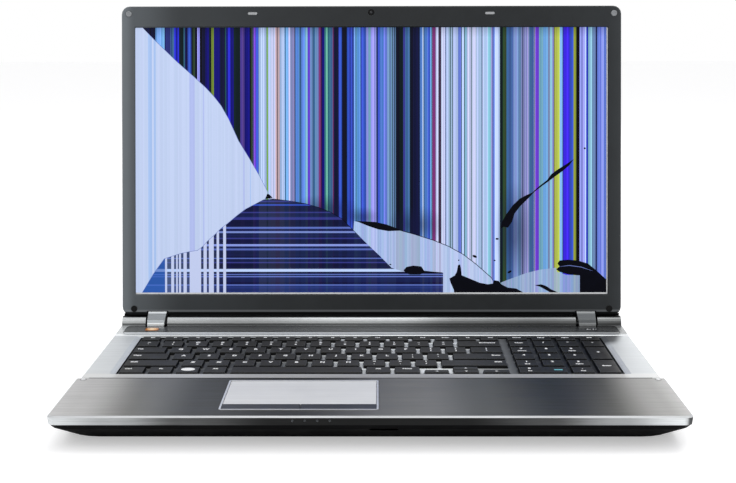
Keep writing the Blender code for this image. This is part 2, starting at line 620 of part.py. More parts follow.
# Fan, its housing open to the fins at the side wall
FAN_BOTTOM = FLOOR_TOP + GAP
FAN_TOP = FAN_BOTTOM + 9.7 * MM
FAN_SHEET = 1.0 * MM
FAN_X = (FAN[0] + FAN[1]) / 2
FAN_Y = (FAN[2] + FAN[3]) / 2
FAN_INTAKE = 19 * MM
ROTOR_RADIUS = 25 * MM
HUB_RADIUS = 9 * MM
BLADES = 13
fan_housing = piece("fan_housing", block(*FAN, FAN_BOTTOM, FAN_TOP, 3 * MM), BLACK, laptop)
cut(fan_housing, "cavity", block(FAN[0] - 1 * MM, FAN[1] - FAN_SHEET, FAN[2] + FAN_SHEET,
                                 FAN[3] - FAN_SHEET, FAN_BOTTOM + FAN_SHEET, FAN_TOP - FAN_SHEET))
cut(fan_housing, "intake", loft([at_height(circle(FAN_INTAKE, (FAN_X, FAN_Y)), z)
                                 for z in (FAN_TOP - 2 * FAN_SHEET, FAN_TOP + 1 * MM)]))
UNDER_INTAKE = (11 * MM, 19 * MM, 12 * MM)   # near and far |x| from the hub, half its depth
near, far, deep = UNDER_INTAKE
cut(fan_housing, "under_intake", *[block(FAN_X + low, FAN_X + high, FAN_Y - deep, FAN_Y + deep,
                                         FAN_BOTTOM - 1 * MM, FAN_BOTTOM + 2 * FAN_SHEET)
                                   for low, high in ((-far, -near), (near, far))])
rotor_bottom = FAN_BOTTOM + FAN_SHEET + GAP
rotor_top = FAN_TOP - FAN_SHEET - GAP
fan_rotor = piece("fan_rotor", disc(HUB_RADIUS, FAN_X, FAN_Y, rotor_bottom, rotor_top), BLACK, laptop,
                  (FAN_X, FAN_Y, rotor_bottom))
blades = []
for i in range(BLADES):
    turn = 2 * math.pi * i / BLADES
    out = Vector((math.cos(turn), math.sin(turn)))
    across = Vector((-out.y, out.x))
    middle = Vector((FAN_X, FAN_Y))
    root = middle + out * (HUB_RADIUS - 1 * MM)
    tip = middle + out * ROTOR_RADIUS + across * 5 * MM
    thick = across * 0.6 * MM
    blades.append(slab([root - thick, tip - thick, tip + thick, root + thick],
                       rotor_bottom + 0.4 * MM, rotor_top - 0.4 * MM))
add(fan_rotor, "blades", *blades)

# Fins at the left wall and the heat pipe to the processor
FINS = (-197.0 * MM, FAN[0] - GAP, 170 * MM, 222 * MM)
FIN_COUNT = 12
FIN_SLOT = 2.2 * MM
fins = piece("heatsink_fins", block(*FINS, FLOOR_TOP + 0.8 * MM, FAN_TOP - GAP), COPPER, laptop)
fin_pitch = (FINS[3] - FINS[2]) / FIN_COUNT
fin_places = [FINS[2] + fin_pitch * (i + 0.5) for i in range(FIN_COUNT)]
cut(fins, "channels", *[block(FINS[0] - 1 * MM, FINS[1] + 1 * MM, y - FIN_SLOT / 2, y + FIN_SLOT / 2,
                              FLOOR_TOP + 2 * MM, FAN_TOP - 1.5 * MM) for y in fin_places])
PIPE_RADIUS = 1.6 * MM
pipe_z = FAN_TOP + GAP + PIPE_RADIUS
chip_z = CHIP_TOP + GAP + PIPE_RADIUS + 0.1 * MM
cable("heat_pipe", [(CHIP_X + 14 * MM, CHIP_Y, chip_z), (CHIP_X - 12 * MM, CHIP_Y, chip_z),
                    (CHIP_X - 30 * MM, CHIP_Y - 10 * MM, pipe_z), (-125 * MM, 162 * MM, pipe_z),
                    (-165 * MM, 160 * MM, pipe_z), (-186 * MM, 168 * MM, pipe_z),
                    (-191 * MM, 184 * MM, pipe_z), (-191 * MM, 218 * MM, pipe_z)],
      PIPE_RADIUS, COPPER, laptop)

# Vents beside the fins and under the fan
VENT_WIDTH = 2.4 * MM
outside = DECK_WIDTH / 2 + 3 * MM
cut(bottom_case, "side_vents", *[block(-outside, FINS[0] - 0.5 * MM, y - VENT_WIDTH / 2, y + VENT_WIDTH / 2,
                                       6 * MM, 13 * MM) for y in fin_places])
UNDER_VENTS = 7
vent_pitch = 6 * MM
vent_left = FAN_X - vent_pitch * (UNDER_VENTS - 1) / 2
cut(bottom_case, "under_vents", *[block(vent_left + vent_pitch * i - VENT_WIDTH / 2,
                                        vent_left + vent_pitch * i + VENT_WIDTH / 2,
                                        FAN_Y - 18 * MM, FAN_Y + 18 * MM, BELOW, ABOVE_FLOOR)
                                  for i in range(UNDER_VENTS)])


# Sockets: each a block in a wall opening, with its mouth cut in
def socket(name, side, front, rear, bottom, top, finish, mouth, tongue=0.0):
    """A socket in the left (-1) or right (1) wall; the mouth is its rim's width and depth."""
    rim, depth = mouth
    ends = sorted((side * (PORT_FACE - PORT_LENGTH), side * PORT_FACE))
    cut(bottom_case, f"{name}_opening", block(*sorted((side * outside, side * (PORT_FACE - 4 * MM))),
                                              front - GAP, rear + GAP, bottom - GAP, top + GAP))
    made = piece(name, block(*ends, front, rear, bottom, top), finish, laptop)
    inside = sorted((side * (PORT_FACE + 1 * MM), side * (PORT_FACE - depth)))
    if tongue:
        middle = (bottom + top) / 2
        cut(made, "mouth_low", block(*inside, front + rim, rear - rim, bottom + rim, middle - tongue / 2))
        cut(made, "mouth_high", block(*inside, front + rim, rear - rim, middle + tongue / 2, top - rim))
    else:
        cut(made, "mouth", block(*inside, front + rim, rear - rim, bottom + rim, top - rim))
    return made


socket("usb_port_left", -1, 72 * MM, 86 * MM, 5.2 * MM, 11.6 * MM, STEEL, (0.7 * MM, 9 * MM), 1.8 * MM)
socket("hdmi_port", -1, 91 * MM, 106 * MM, 5.2 * MM, 10.8 * MM, STEEL, (0.7 * MM, 8 * MM), 1.6 * MM)
socket("video_port", -1, 111 * MM, 142 * MM, 4.6 * MM, 15.4 * MM, STEEL, (2.0 * MM, 1.2 * MM))
NETWORK = (147 * MM, 162 * MM, 4.6 * MM, 16.2 * MM)
NETWORK_RIM = 1.4 * MM
NETWORK_DEPTH = 11 * MM
socket("network_port", -1, *NETWORK, BLACK, (NETWORK_RIM, NETWORK_DEPTH))
socket("usb_port_right", 1, 80 * MM, 94 * MM, 5.2 * MM, 11.6 * MM, STEEL, (0.7 * MM, 9 * MM), 1.8 * MM)

JACK_BORE = 1.8 * MM
audio_jacks = piece("audio_jacks", block(PORT_FACE - PORT_LENGTH, PORT_FACE, 54 * MM, 74 * MM, 5 * MM, 12 * MM),
                    BLACK, laptop)
cut(bottom_case, "audio_jacks_opening", block(PORT_FACE - 4 * MM, outside, 54 * MM - GAP, 74 * MM + GAP,
                                              5 * MM - GAP, 12 * MM + GAP))
cut(audio_jacks, "bores", *[rod(JACK_BORE, PORT_FACE - 12 * MM, PORT_FACE + 1 * MM, y, 8.5 * MM, 12)
                            for y in (59.5 * MM, 68.5 * MM)])
POWER_JACK = (241 * MM, 11 * MM)
POWER_JACK_RADIUS = 4.2 * MM
power_jack = piece("power_jack", rod(POWER_JACK_RADIUS, -PORT_FACE, -(PORT_FACE - PORT_LENGTH), *POWER_JACK),
                   BLACK, laptop)
cut(bottom_case, "power_jack_opening", rod(POWER_JACK_RADIUS + GAP, -outside, -(PORT_FACE - 4 * MM), *POWER_JACK))
cut(power_jack, "bore", loft([[(x, *point) for point in circle(2.9 * MM, POWER_JACK, 16)] for x in
                              (-PORT_FACE - 1 * MM, -(PORT_FACE - 9 * MM))]))
add(power_jack, "contact", rod(0.9 * MM, -(PORT_FACE - 0.8 * MM), -(PORT_FACE - 10 * MM), *POWER_JACK, 8))

# Speakers behind the front corners
SPEAKER = (140 * MM, 180 * MM, 31 * MM, 53 * MM)
for name, side in SIDES:
    ends = sorted(side * x for x in SPEAKER[:2])
    speaker = piece(f"speaker_{name}", block(*ends, *SPEAKER[2:], FLOOR_TOP + GAP, 15 * MM, 3 * MM), BLACK, laptop)
    cut(speaker, "cone", loft([at_height(circle(radius, (sum(ends) / 2, (SPEAKER[2] + SPEAKER[3]) / 2)), z)
                               for radius, z in ((4 * MM, 13.5 * MM), (9 * MM, 15.5 * MM))]))


# Optical drive: a case open at the right wall, and a tray that slides out of it
DRIVE = (66 * MM, 196.5 * MM, 98 * MM, 224 * MM)
DRIVE_BOTTOM = FLOOR_TOP + GAP
DRIVE_TOP = DRIVE_BOTTOM + 12.0 * MM
DRIVE_SHEET = 0.8 * MM
SLIDE_GAP = 0.5 * MM
FACE_OUT = DECK_WIDTH / 2 - 0.6 * MM
FACE_THICKNESS = 3.2 * MM
drive_case = piece("optical_drive_case", block(*DRIVE, DRIVE_BOTTOM, DRIVE_TOP), STEEL, laptop)
cut(drive_case, "cavity", block(DRIVE[0] + DRIVE_SHEET, DRIVE[1] + 1 * MM, DRIVE[2] + DRIVE_SHEET,
                                DRIVE[3] - DRIVE_SHEET, DRIVE_BOTTOM + DRIVE_SHEET, DRIVE_TOP - DRIVE_SHEET))
cut(bottom_case, "drive_opening", block(DRIVE[1] - 3 * MM, outside, DRIVE[2] - GAP, DRIVE[3] + GAP,
                                        DRIVE_BOTTOM - 0.05 * MM, DRIVE_TOP + GAP))
tray_front = DRIVE[2] + DRIVE_SHEET + SLIDE_GAP
tray_rear = DRIVE[3] - DRIVE_SHEET - SLIDE_GAP
TRAY_BOTTOM = DRIVE_BOTTOM + DRIVE_SHEET + GAP + 0.2 * MM
TRAY_TOP = TRAY_BOTTOM + 3.4 * MM
TRAY_LEFT = DRIVE[0] + DRIVE_SHEET + 1 * MM
drive_tray = piece("drive_tray", block(TRAY_LEFT, FACE_OUT - 1 * MM, tray_front, tray_rear,
                                       TRAY_BOTTOM, TRAY_TOP), BLACK, laptop)
add(drive_tray, "faceplate", block(FACE_OUT - FACE_THICKNESS, FACE_OUT, DRIVE[2] + GAP, DRIVE[3] - GAP,
                                   DRIVE_BOTTOM + 0.2 * MM, DRIVE_TOP - 0.1 * MM, 0.8 * MM))
SPINDLE = ((TRAY_LEFT + FACE_OUT - FACE_THICKNESS) / 2, (tray_front + tray_rear) / 2)
DISC_RECESS = 58.5 * MM
RECESS_DEPTH = 1.2 * MM
SPINDLE_RADIUS = 11 * MM
cut(drive_tray, "disc_recess", disc(DISC_RECESS, *SPINDLE, TRAY_TOP - RECESS_DEPTH, TRAY_TOP + 0.5 * MM, 40))
cut(drive_tray, "spindle_well", disc(SPINDLE_RADIUS + GAP, *SPINDLE, TRAY_BOTTOM + 0.8 * MM, TRAY_TOP))
spindle_bottom = TRAY_BOTTOM + 0.8 * MM + GAP
piece("drive_spindle", loft([at_height(circle(radius, SPINDLE), z) for radius, z in
                             ((SPINDLE_RADIUS, spindle_bottom), (SPINDLE_RADIUS, TRAY_TOP - RECESS_DEPTH),
                              (7 * MM, TRAY_TOP - RECESS_DEPTH + 0.2 * MM), (7 * MM, TRAY_TOP + 0.6 * MM),
                              (6 * MM, TRAY_TOP + 1.2 * MM))]), STEEL, laptop, (*SPINDLE, spindle_bottom))
EJECT = (206 * MM, 213 * MM, 9.2 * MM, 12 * MM)
EJECT_DEPTH = 2.0 * MM
EJECT_TRAVEL = 0.5 * MM
EJECT_PROUD = 0.3 * MM
front, rear, bottom, top = EJECT
cut(drive_tray, "eject_hole", block(FACE_OUT - EJECT_DEPTH, FACE_OUT + 1 * MM, front - GAP, rear + GAP,
                                    bottom - GAP, top + GAP))
eject_left = FACE_OUT - EJECT_DEPTH + EJECT_TRAVEL + 0.1 * MM
piece("eject_button", block(eject_left, FACE_OUT + EJECT_PROUD, front, rear, bottom, top), BLACK, laptop,
      (FACE_OUT, (front + rear) / 2, (bottom + top) / 2))


# Battery in its bay, held by two sliding catches in the floor
BATTERY_TOP = CASE_TOP - 0.3 * MM
battery = piece("battery_pack", block(GAP - BAY_HALF, BAY_HALF - GAP, BAY_FRONT + GAP, BASE_DEPTH - 0.6 * MM,
                                      FOOT_HEIGHT, BATTERY_TOP, 2.0 * MM), BLACK, laptop)
CATCH_X = 44 * MM
CATCH_TRAVEL = 8.5 * MM
CATCH_KNOB = (8.5 * MM, 213.5 * MM, 221 * MM)   # half its width, front and rear
HOOK_HALF = 4 * MM
HOOK_BOTTOM = FLOOR_TOP + GAP
HOOK_TOP = HOOK_BOTTOM + 1.6 * MM
HOOK_REAR = BAY_FRONT + 3 * MM
half, front, rear = CATCH_KNOB
for name, side in (("battery_latch", -1), ("battery_lock", 1)):
    x = side * CATCH_X
    slot = sorted((x - side * (half + GAP), x + side * (half + CATCH_TRAVEL + GAP)))
    catch = piece(name, block(x - half, x + half, front, rear, FOOT_HEIGHT + 0.2 * MM, HOOK_TOP, 1 * MM),
                  BLACK, laptop, (x, (front + rear) / 2, HOOK_BOTTOM))
    add(catch, "hook", block(x - HOOK_HALF, x + HOOK_HALF, front + 2 * MM, HOOK_REAR,
                             HOOK_BOTTOM, HOOK_TOP - 0.1 * MM))
    cut(bottom_case, f"{name}_slot", block(*slot, front - GAP, rear + GAP, BELOW, ABOVE_FLOOR))
    hook_run = sorted((x - side * (HOOK_HALF + GAP), x + side * (HOOK_HALF + CATCH_TRAVEL + GAP)))
    cut(bottom_case, f"{name}_hook_slot", block(*hook_run, rear + 2 * MM, BAY_FRONT + 1 * MM,
                                                HOOK_BOTTOM - GAP + 0.02 * MM, HOOK_TOP + GAP))
    cut(battery, f"{name}_keeper", block(*hook_run, BAY_FRONT - 1 * MM, HOOK_REAR + GAP,
                                         HOOK_BOTTOM - GAP, HOOK_TOP + GAP))


# Lid: a tray with the bezel over it, all in the lid's own frame
LID_SIDE = LID_WIDTH / 2
BEZEL_THICKNESS = 1.5 * MM
BEZEL_BACK = LID_FACE - BEZEL_THICKNESS
COVER_RIM = BEZEL_BACK - GAP
LID_SHEET = 1.5 * MM


def lid_outline(inset):
    return rectangle(-LID_SIDE + inset, LID_SIDE - inset, LID_BOTTOM + inset, LID_TOP - inset, LID_CORNER)


lid_cover = piece("lid_cover", loft([
    at_height(lid_outline(COVER_BEVEL), LID_BACK), at_height(lid_outline(COVER_BEVEL * 0.3), LID_BACK + 0.8 * MM),
    at_height(lid_outline(0), LID_BACK + 2.5 * MM), at_height(lid_outline(0), COVER_RIM),
    at_height(lid_outline(LID_WALL), COVER_RIM), at_height(lid_outline(LID_WALL), LID_BACK + LID_SHEET + 1 * MM),
    at_height(lid_outline(LID_WALL + 1 * MM), LID_BACK + LID_SHEET)]), CHARCOAL, lid)

# The cover's rear edge hangs a little lower than the bezel and closes the view past the bar
SKIRT_BOTTOM = 3.6 * MM
SKIRT_FRONT = -7.2 * MM
skirt_side = notch[0] - 0.9 * MM
add(lid_cover, "rear_skirt", block(-skirt_side, skirt_side, SKIRT_BOTTOM, LID_BOTTOM + 4 * MM,
                                   LID_BACK + 0.2 * MM, SKIRT_FRONT))

# Screen opening for a 382 x 215 mm panel
OPEN_HALF = LID_SIDE - 10.75 * MM
OPEN_BOTTOM = LID_BOTTOM + 16.74 * MM
OPEN_TOP = LID_TOP - 17.16 * MM
OPEN_CHAMFER = 0.9 * MM
EDGE_CHAMFER = 0.8 * MM
LOWER_CHAMFER = 2.1 * MM


def bezel_outline(inset, lower_inset):
    return rectangle(-LID_SIDE + inset, LID_SIDE - inset, LID_BOTTOM + lower_inset, LID_TOP - inset, LID_CORNER)


def opening_outline(margin):
    return rectangle(-OPEN_HALF - margin, OPEN_HALF + margin, OPEN_BOTTOM - margin, OPEN_TOP + margin, 0.8 * MM)


screen_bezel = piece("screen_bezel", loft([
    at_height(bezel_outline(0, 0), BEZEL_BACK), at_height(bezel_outline(0, 0), LID_FACE - EDGE_CHAMFER),
    at_height(bezel_outline(EDGE_CHAMFER, LOWER_CHAMFER), LID_FACE),
    at_height(opening_outline(OPEN_CHAMFER), LID_FACE),
    at_height(opening_outline(0), LID_FACE - OPEN_CHAMFER), at_height(opening_outline(0), BEZEL_BACK)],
    looped=True), CHARCOAL, lid)

# Lower bumpers, which the bezel carries, and the upper ones with their screw caps
LOWER_BUMPER = (LID_SIDE - 9.6 * MM, LID_BOTTOM + 4.9 * MM)
BUMPER_RADIUS = 2.4 * MM
BUMPER_PROUD = 0.5 * MM
add(screen_bezel, "lower_bumpers", *[disc(BUMPER_RADIUS, side * LOWER_BUMPER[0], LOWER_BUMPER[1],
                                          LID_FACE - 0.6 * MM, LID_FACE + BUMPER_PROUD, 14)
                                     for side in (-1, 1)])
UPPER_BUMPER = (LID_SIDE - 5.8 * MM, LID_TOP - 6.1 * MM)
INLET = (96.2 * MM, LID_TOP - 5.9 * MM)     # small silver ovals beside the camera
INLET_HALF = (3.8 * MM, 1.0 * MM)
CAMERA_Y = LID_TOP - 5.1 * MM
CAMERA_RADIUS = 2.4 * MM
bezel_holes = []
for name, side in SIDES:
    x, y = side * UPPER_BUMPER[0], UPPER_BUMPER[1]
    bezel_holes.append(disc(BUMPER_RADIUS + GAP, x, y, BEZEL_BACK - 1 * MM, LID_FACE + 1 * MM, 16))
    piece(f"lid_bumper_{name}", loft([at_height(circle(radius, (x, y), 16), z) for radius, z in
                                      ((BUMPER_RADIUS, BEZEL_BACK), (BUMPER_RADIUS, LID_FACE + 0.3 * MM),
                                       (BUMPER_RADIUS - 0.4 * MM, LID_FACE + BUMPER_PROUD),
                                       (BUMPER_RADIUS - 0.9 * MM, LID_FACE + BUMPER_PROUD),
                                       (BUMPER_RADIUS - 1.1 * MM, LID_FACE + 0.2 * MM))]), RUBBER, lid)
    x, y = side * INLET[0], INLET[1]
    edges = (x - INLET_HALF[0], x + INLET_HALF[0], y - INLET_HALF[1], y + INLET_HALF[1])
    bezel_holes.append(block(*grown(edges, GAP), BEZEL_BACK - 1 * MM, LID_FACE + 1 * MM, INLET_HALF[1]))
    piece(f"mic_inlay_{name}", block(*edges, BEZEL_BACK, LID_FACE + 0.1 * MM, INLET_HALF[1] * 0.9), SILVER, lid)
bezel_holes.append(disc(CAMERA_RADIUS + GAP, 0, CAMERA_Y, BEZEL_BACK - 1 * MM, LID_FACE + 1 * MM, 16))
cut(screen_bezel, "holes", *bezel_holes)
piece("webcam", loft([at_height(circle(radius, (0, CAMERA_Y), 16), z) for radius, z in
                      ((CAMERA_RADIUS, BEZEL_BACK - 2 * MM), (CAMERA_RADIUS, LID_FACE - 0.1 * MM),
                       (1.5 * MM, LID_FACE - 0.1 * MM), (1.2 * MM, LID_FACE - 0.5 * MM))]), LENS, lid)

# Panel behind the glass
PANEL_HALF = OPEN_HALF + 3.2 * MM
PANEL_BOTTOM = OPEN_BOTTOM - 4 * MM
PANEL_TOP = OPEN_TOP + 3.4 * MM
PANEL_BACK = LID_BACK + LID_SHEET + GAP
GLASS_FRONT = BEZEL_BACK - GAP
GLASS_BACK = GLASS_FRONT - 1.3 * MM
GLASS_MARGIN = 1.8 * MM
lcd_panel = piece("lcd_panel", block(-PANEL_HALF, PANEL_HALF, PANEL_BOTTOM, PANEL_TOP, PANEL_BACK,
                                     GLASS_BACK - GAP), STEEL, lid)
lcd_glass = piece("lcd_glass", block(-OPEN_HALF - GLASS_MARGIN, OPEN_HALF + GLASS_MARGIN, OPEN_BOTTOM - GLASS_MARGIN,
                                     OPEN_TOP + GLASS_MARGIN, GLASS_BACK, GLASS_FRONT), GLASS, lid)

# Damage: cracks and ink blots in the display. Points are in millimetres on the panel's face,
# from its middle, x to the right and y up, as the photograph shows them.
SCREEN_MIDDLE_Y = (OPEN_BOTTOM + OPEN_TOP) / 2
CRACK_DEPTH = 0.25 * MM
BLOT_DEPTH = 0.15 * MM


def on_panel(points):
    return [Vector((x * MM, SCREEN_MIDDLE_Y + y * MM)) for x, y in points]


def ribbon(points, width):
    """A strip along the points, narrowing to both ends."""
    route = on_panel(points)
    sides = ([], [])
    for i, point in enumerate(route):
        ahead = (route[min(i + 1, len(route) - 1)] - route[max(i - 1, 0)]).normalized()
        across = Vector((-ahead.y, ahead.x))
        half = width / 2 * (0.25 if i in (0, len(route) - 1) else 1)
        sides[0].append(point + across * half)
        sides[1].append(point - across * half)
    return sides[0] + sides[1][::-1]


def groove(outline, depth):
    return slab(outline, GLASS_FRONT - depth, GLASS_FRONT + 0.5 * MM)


CRACKS = {
    "upper_left": [(-85.6, -26.6), (-90.4, -13.1), (-99.2, 2.1), (-108.1, 16.7), (-115.9, 34.0), (-122.3, 45.3),
                   (-128.4, 53.0), (-144.2, 68.5), (-157.8, 79.7), (-176.2, 98.0), (-190.6, 108.0)],
    "lower_left": [(-88.0, -31.5), (-102.8, -39.3), (-118.3, -52.4), (-128.4, -59.6), (-138.5, -70.9),
                   (-148.6, -73.3), (-167.7, -78.7), (-177.7, -91.8), (-187.2, -106.5)],
    "right_arm": [(-83.0, -29.2), (-65.4, -32.1), (-51.4, -36.2), (-40.0, -39.2), (-25.2, -46.0),
                  (-13.8, -56.2), (-2.4, -67.6), (5.5, -75.7), (15.7, -86.5), (26.0, -89.9), (58.4, -92.2)],
    "right_edge": [(-11.6, -49.1), (22.4, -56.4), (37.0, -62.1), (54.0, -65.9), (62.9, -69.4), (74.6, -76.4),
                   (88.8, -88.1), (98.5, -97.0)],
    "right_branch": [(104.5, -83.0), (109.8, -57.3), (119.0, -38.0), (129.2, -27.1), (142.9, -15.2),
                     (156.5, -3.8), (165.0, 2.0)],
}
CRACK_WIDTHS = {"upper_left": 0.5, "lower_left": 0.5, "right_arm": 0.5, "right_edge": 0.45, "right_branch": 0.6}
for name, points in CRACKS.items():
    cut(lcd_glass, f"crack_{name}", groove(ribbon(points, CRACK_WIDTHS[name] * MM), CRACK_DEPTH))
cut(lcd_glass, "impact", groove(on_panel([(-86.2, -27.0), (-84.0, -26.6), (-81.9, -29.2), (-85.6, -29.6)]),
                                2 * CRACK_DEPTH))
BLOTS = {
    "lens": [(-12.1, -49.0), (-6.0, -48.6), (2.0, -50.0), (12.0, -53.6), (20.3, -56.1), (12.0, -57.4),
             (2.0, -56.6), (-6.5, -53.0)],
    "oval": [(26.0, -87.5), (30.0, -85.4), (36.0, -85.6), (42.4, -88.6), (41.0, -92.0), (33.0, -92.6)],
    "bottom": [(63.3, -97.3), (67.7, -93.8), (71.2, -84.2), (73.4, -93.3), (81.4, -96.1), (89.4, -100.1),
               (97.4, -100.7), (99.7, -97.3), (105.4, -98.4), (108.8, -103.0), (119.0, -104.7),
               (123.5, -107.2), (67.7, -107.2)],
    "right": [(151.4, -83.6), (155.4, -80.8), (165.6, -80.2), (174.7, -82.5), (181.5, -87.6), (190.6, -95.0),
              (190.6, -107.2), (169.6, -107.2), (169.6, -93.3), (159.9, -92.2), (150.2, -88.8)],
}
for name, points in BLOTS.items():
    cut(lcd_glass, f"blot_{name}", groove(on_panel(points), BLOT_DEPTH))


# Hinge caps and arms, with the display cable through the left cap
CAP_SKIN = 1.2 * MM
ARM_KNUCKLE_RADIUS = 4.6 * MM
PIN_END = CAP_INNER - 16.9 * MM
KNUCKLE = (CAP_INNER + 3.7 * MM, CAP_INNER + 9.7 * MM)
ARM_SHEET = 1.6 * MM
ARM_BACK = LID_BACK + LID_SHEET + GAP
FOOT_FRONT = ARM_BACK + ARM_SHEET
ARM_FOOT = LID_BOTTOM + LID_CORNER
LEG_HEIGHT = 80 * MM


def cap_profile(radius, top, shoulder):
    """(y, z) round the axis: a circle with a flat front that rises to the shoulder, as (top, z)."""
    reach = math.hypot(top, shoulder)
    towards = math.atan2(shoulder, top)
    first = towards + math.acos(radius / reach)
    turns = [first + (1.5 * math.pi - first) * i / 16 for i in range(17)]
    points = [(radius * math.cos(turn), radius * math.sin(turn)) for turn in turns]
    return [(top, shoulder)] + points + [(top, -radius)]


cap_outer = cap_profile(CAP_RADIUS, CAP_TOP, LID_FACE + 0.2 * MM)
cap_inner = cap_profile(CAP_RADIUS - CAP_SKIN, CAP_TOP + 2 * MM, LID_FACE - CAP_SKIN)
for name, side in SIDES:
    narrowing = CAP_NARROWING / (CAP_TOP + CAP_RADIUS)
    inner_ring = [(side * (CAP_INNER + (CAP_TOP - y) * narrowing), y, z) for y, z in cap_outer]
    outer_ring = [(side * CAP_OUTER, y, z) for y, z in cap_outer]
    hinge_cap = piece(f"hinge_cap_{name}", loft([inner_ring, outer_ring]), SILVER, lid)
    hollow = sorted((side * (CAP_INNER + CAP_NARROWING + CAP_SKIN), side * (CAP_OUTER - CAP_SKIN)))
    cut(hinge_cap, "hollow", bar(cap_inner, *hollow))
    pin_hole = sorted((side * (CAP_INNER - 1 * MM), side * (CAP_INNER + CAP_NARROWING + 2 * CAP_SKIN)))
    cut(hinge_cap, "neck_opening", block(*hollow, 1.5 * MM, CAP_TOP + 1 * MM, -8 * MM, -4 * MM))
    cut(hinge_cap, "foot_opening", block(*sorted((side * (CAP_INNER - 1 * MM), side * (CAP_OUTER + 1 * MM))),
                                         LID_BOTTOM, CAP_TOP + 1.2 * MM, -8.2 * MM, FOOT_FRONT + GAP))
    cut(hinge_cap, "pin_hole", rod(PIN_RADIUS + GAP, *pin_hole, 0, 0, 16))
    ends = sorted(side * x for x in notch)
    cut(screen_bezel, f"notch_{name}", block(*ends, LID_BOTTOM - 1 * MM, CAP_TOP + 0.6 * MM,
                                             BEZEL_BACK - 1 * MM, LID_FACE + 1 * MM))
    cut(lid_cover, f"notch_{name}", block(*ends, SKIRT_BOTTOM - 1 * MM, LID_BOTTOM + 3 * MM,
                                          SKIRT_FRONT, COVER_RIM + 1 * MM))
    knuckle = sorted(side * x for x in KNUCKLE)
    arm = piece(f"hinge_arm_{name}", rod(ARM_KNUCKLE_RADIUS, *knuckle, 0, 0), STEEL, lid)
    add(arm, "pin", rod(PIN_RADIUS, *sorted((side * PIN_END, sum(knuckle) / 2)), 0, 0, 24))
    # The arm's neck goes up through the cap to a foot below the panel and a leg beside it
    neck = sorted((side * (KNUCKLE[0] + 0.4 * MM), side * (KNUCKLE[1] - 0.2 * MM)))
    foot_ends = sorted((side * (KNUCKLE[0] - 0.6 * MM), side * (LID_SIDE - LID_WALL - 1.8 * MM)))
    leg = sorted((side * (PANEL_HALF + GAP), side * (LID_SIDE - LID_WALL - 2 * MM)))
    add(arm, "neck", bar([(1 * MM, -3.5 * MM), (1 * MM, -1 * MM), (ARM_FOOT + 2 * MM, FOOT_FRONT),
                          (ARM_FOOT + 2 * MM, ARM_BACK), (3 * MM, ARM_BACK + 0.4 * MM)], *neck))
    add(arm, "foot", block(*foot_ends, ARM_FOOT, PANEL_BOTTOM - GAP, ARM_BACK + 0.02 * MM,
                           FOOT_FRONT - 0.1 * MM))
    add(arm, "leg", block(*leg, ARM_FOOT + 0.5 * MM, LID_BOTTOM + LEG_HEIGHT, ARM_BACK + 0.04 * MM,
                          FOOT_FRONT + 0.6 * MM))

# The display cable meets itself on the hinge axis, in the left cap's outer wall
CABLE_RADIUS = 0.9 * MM
CABLE_END = CAP_OUTER + 0.6 * MM
cut(bpy.data.objects["hinge_cap_left"], "cable_hole", rod(CABLE_RADIUS + 0.4 * MM, -CAP_OUTER - 1 * MM,
                                                         -CAP_OUTER + 2 * CAP_SKIN, 0, 0, 12))
in_cap = -(CAP_OUTER - CAP_SKIN - CABLE_RADIUS - 0.7 * MM)
cable("display_cable_lid", [(-CABLE_END + 0.2 * MM, 0, 0), (in_cap - 0.6 * MM, 0.1 * MM, 0),
                            (in_cap, 2 * MM, -0.2 * MM), (in_cap, 7 * MM, -2.4 * MM),
                            (in_cap, 12 * MM, -3.4 * MM), (-172 * MM, 16 * MM, -3.4 * MM),
                            (-150 * MM, 17.4 * MM, -3.4 * MM), (-120 * MM, 17.8 * MM, -3.4 * MM)],
      CABLE_RADIUS, BLACK, lid)
cable("display_cable_base", [(-138 * MM, 227.5 * MM, BOARD_TOP + 1 * MM), (-139 * MM, 236 * MM, 12.5 * MM),
                             (-150 * MM, 246 * MM, 13.5 * MM), (-172 * MM, 249 * MM, 14.5 * MM),
                             (-189 * MM, 252 * MM, 16 * MM), (-193 * MM, 256 * MM, 20 * MM),
                             (-191 * MM, 260.5 * MM, 24 * MM), (-186 * MM, AXIS_Y, AXIS_Z),
                             (-CABLE_END - 0.2 * MM, AXIS_Y, AXIS_Z)], CABLE_RADIUS, BLACK, laptop)
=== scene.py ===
import math
import random

import bmesh
import bpy
from mathutils import Matrix, Vector
from mathutils.geometry import delaunay_2d_cdt


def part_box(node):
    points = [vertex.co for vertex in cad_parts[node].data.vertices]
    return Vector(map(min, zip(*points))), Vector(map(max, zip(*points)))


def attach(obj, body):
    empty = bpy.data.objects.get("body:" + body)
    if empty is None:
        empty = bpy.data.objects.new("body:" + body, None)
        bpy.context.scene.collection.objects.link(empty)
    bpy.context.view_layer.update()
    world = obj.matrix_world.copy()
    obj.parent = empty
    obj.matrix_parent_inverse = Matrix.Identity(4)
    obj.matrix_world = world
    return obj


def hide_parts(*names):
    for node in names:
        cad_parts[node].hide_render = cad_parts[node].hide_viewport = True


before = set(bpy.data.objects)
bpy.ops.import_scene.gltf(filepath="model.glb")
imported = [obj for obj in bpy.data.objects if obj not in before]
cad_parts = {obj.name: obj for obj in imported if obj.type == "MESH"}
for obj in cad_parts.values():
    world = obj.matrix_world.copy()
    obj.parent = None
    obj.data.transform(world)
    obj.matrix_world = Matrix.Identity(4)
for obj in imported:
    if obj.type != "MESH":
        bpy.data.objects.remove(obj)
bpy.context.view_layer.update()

# The viewpoint: a long lens a little above the lid, near the laptop's middle, 865 mm in front of
# the base's front edge. Every length in this file is in metres, made from millimetres by MM.
MM = 0.001
FRONT_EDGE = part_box("palm_rest")[0].y
EYE = Vector((5.33 * MM, FRONT_EDGE - 865.1 * MM, 280.59 * MM))
EYE_PITCH = math.radians(9.502)
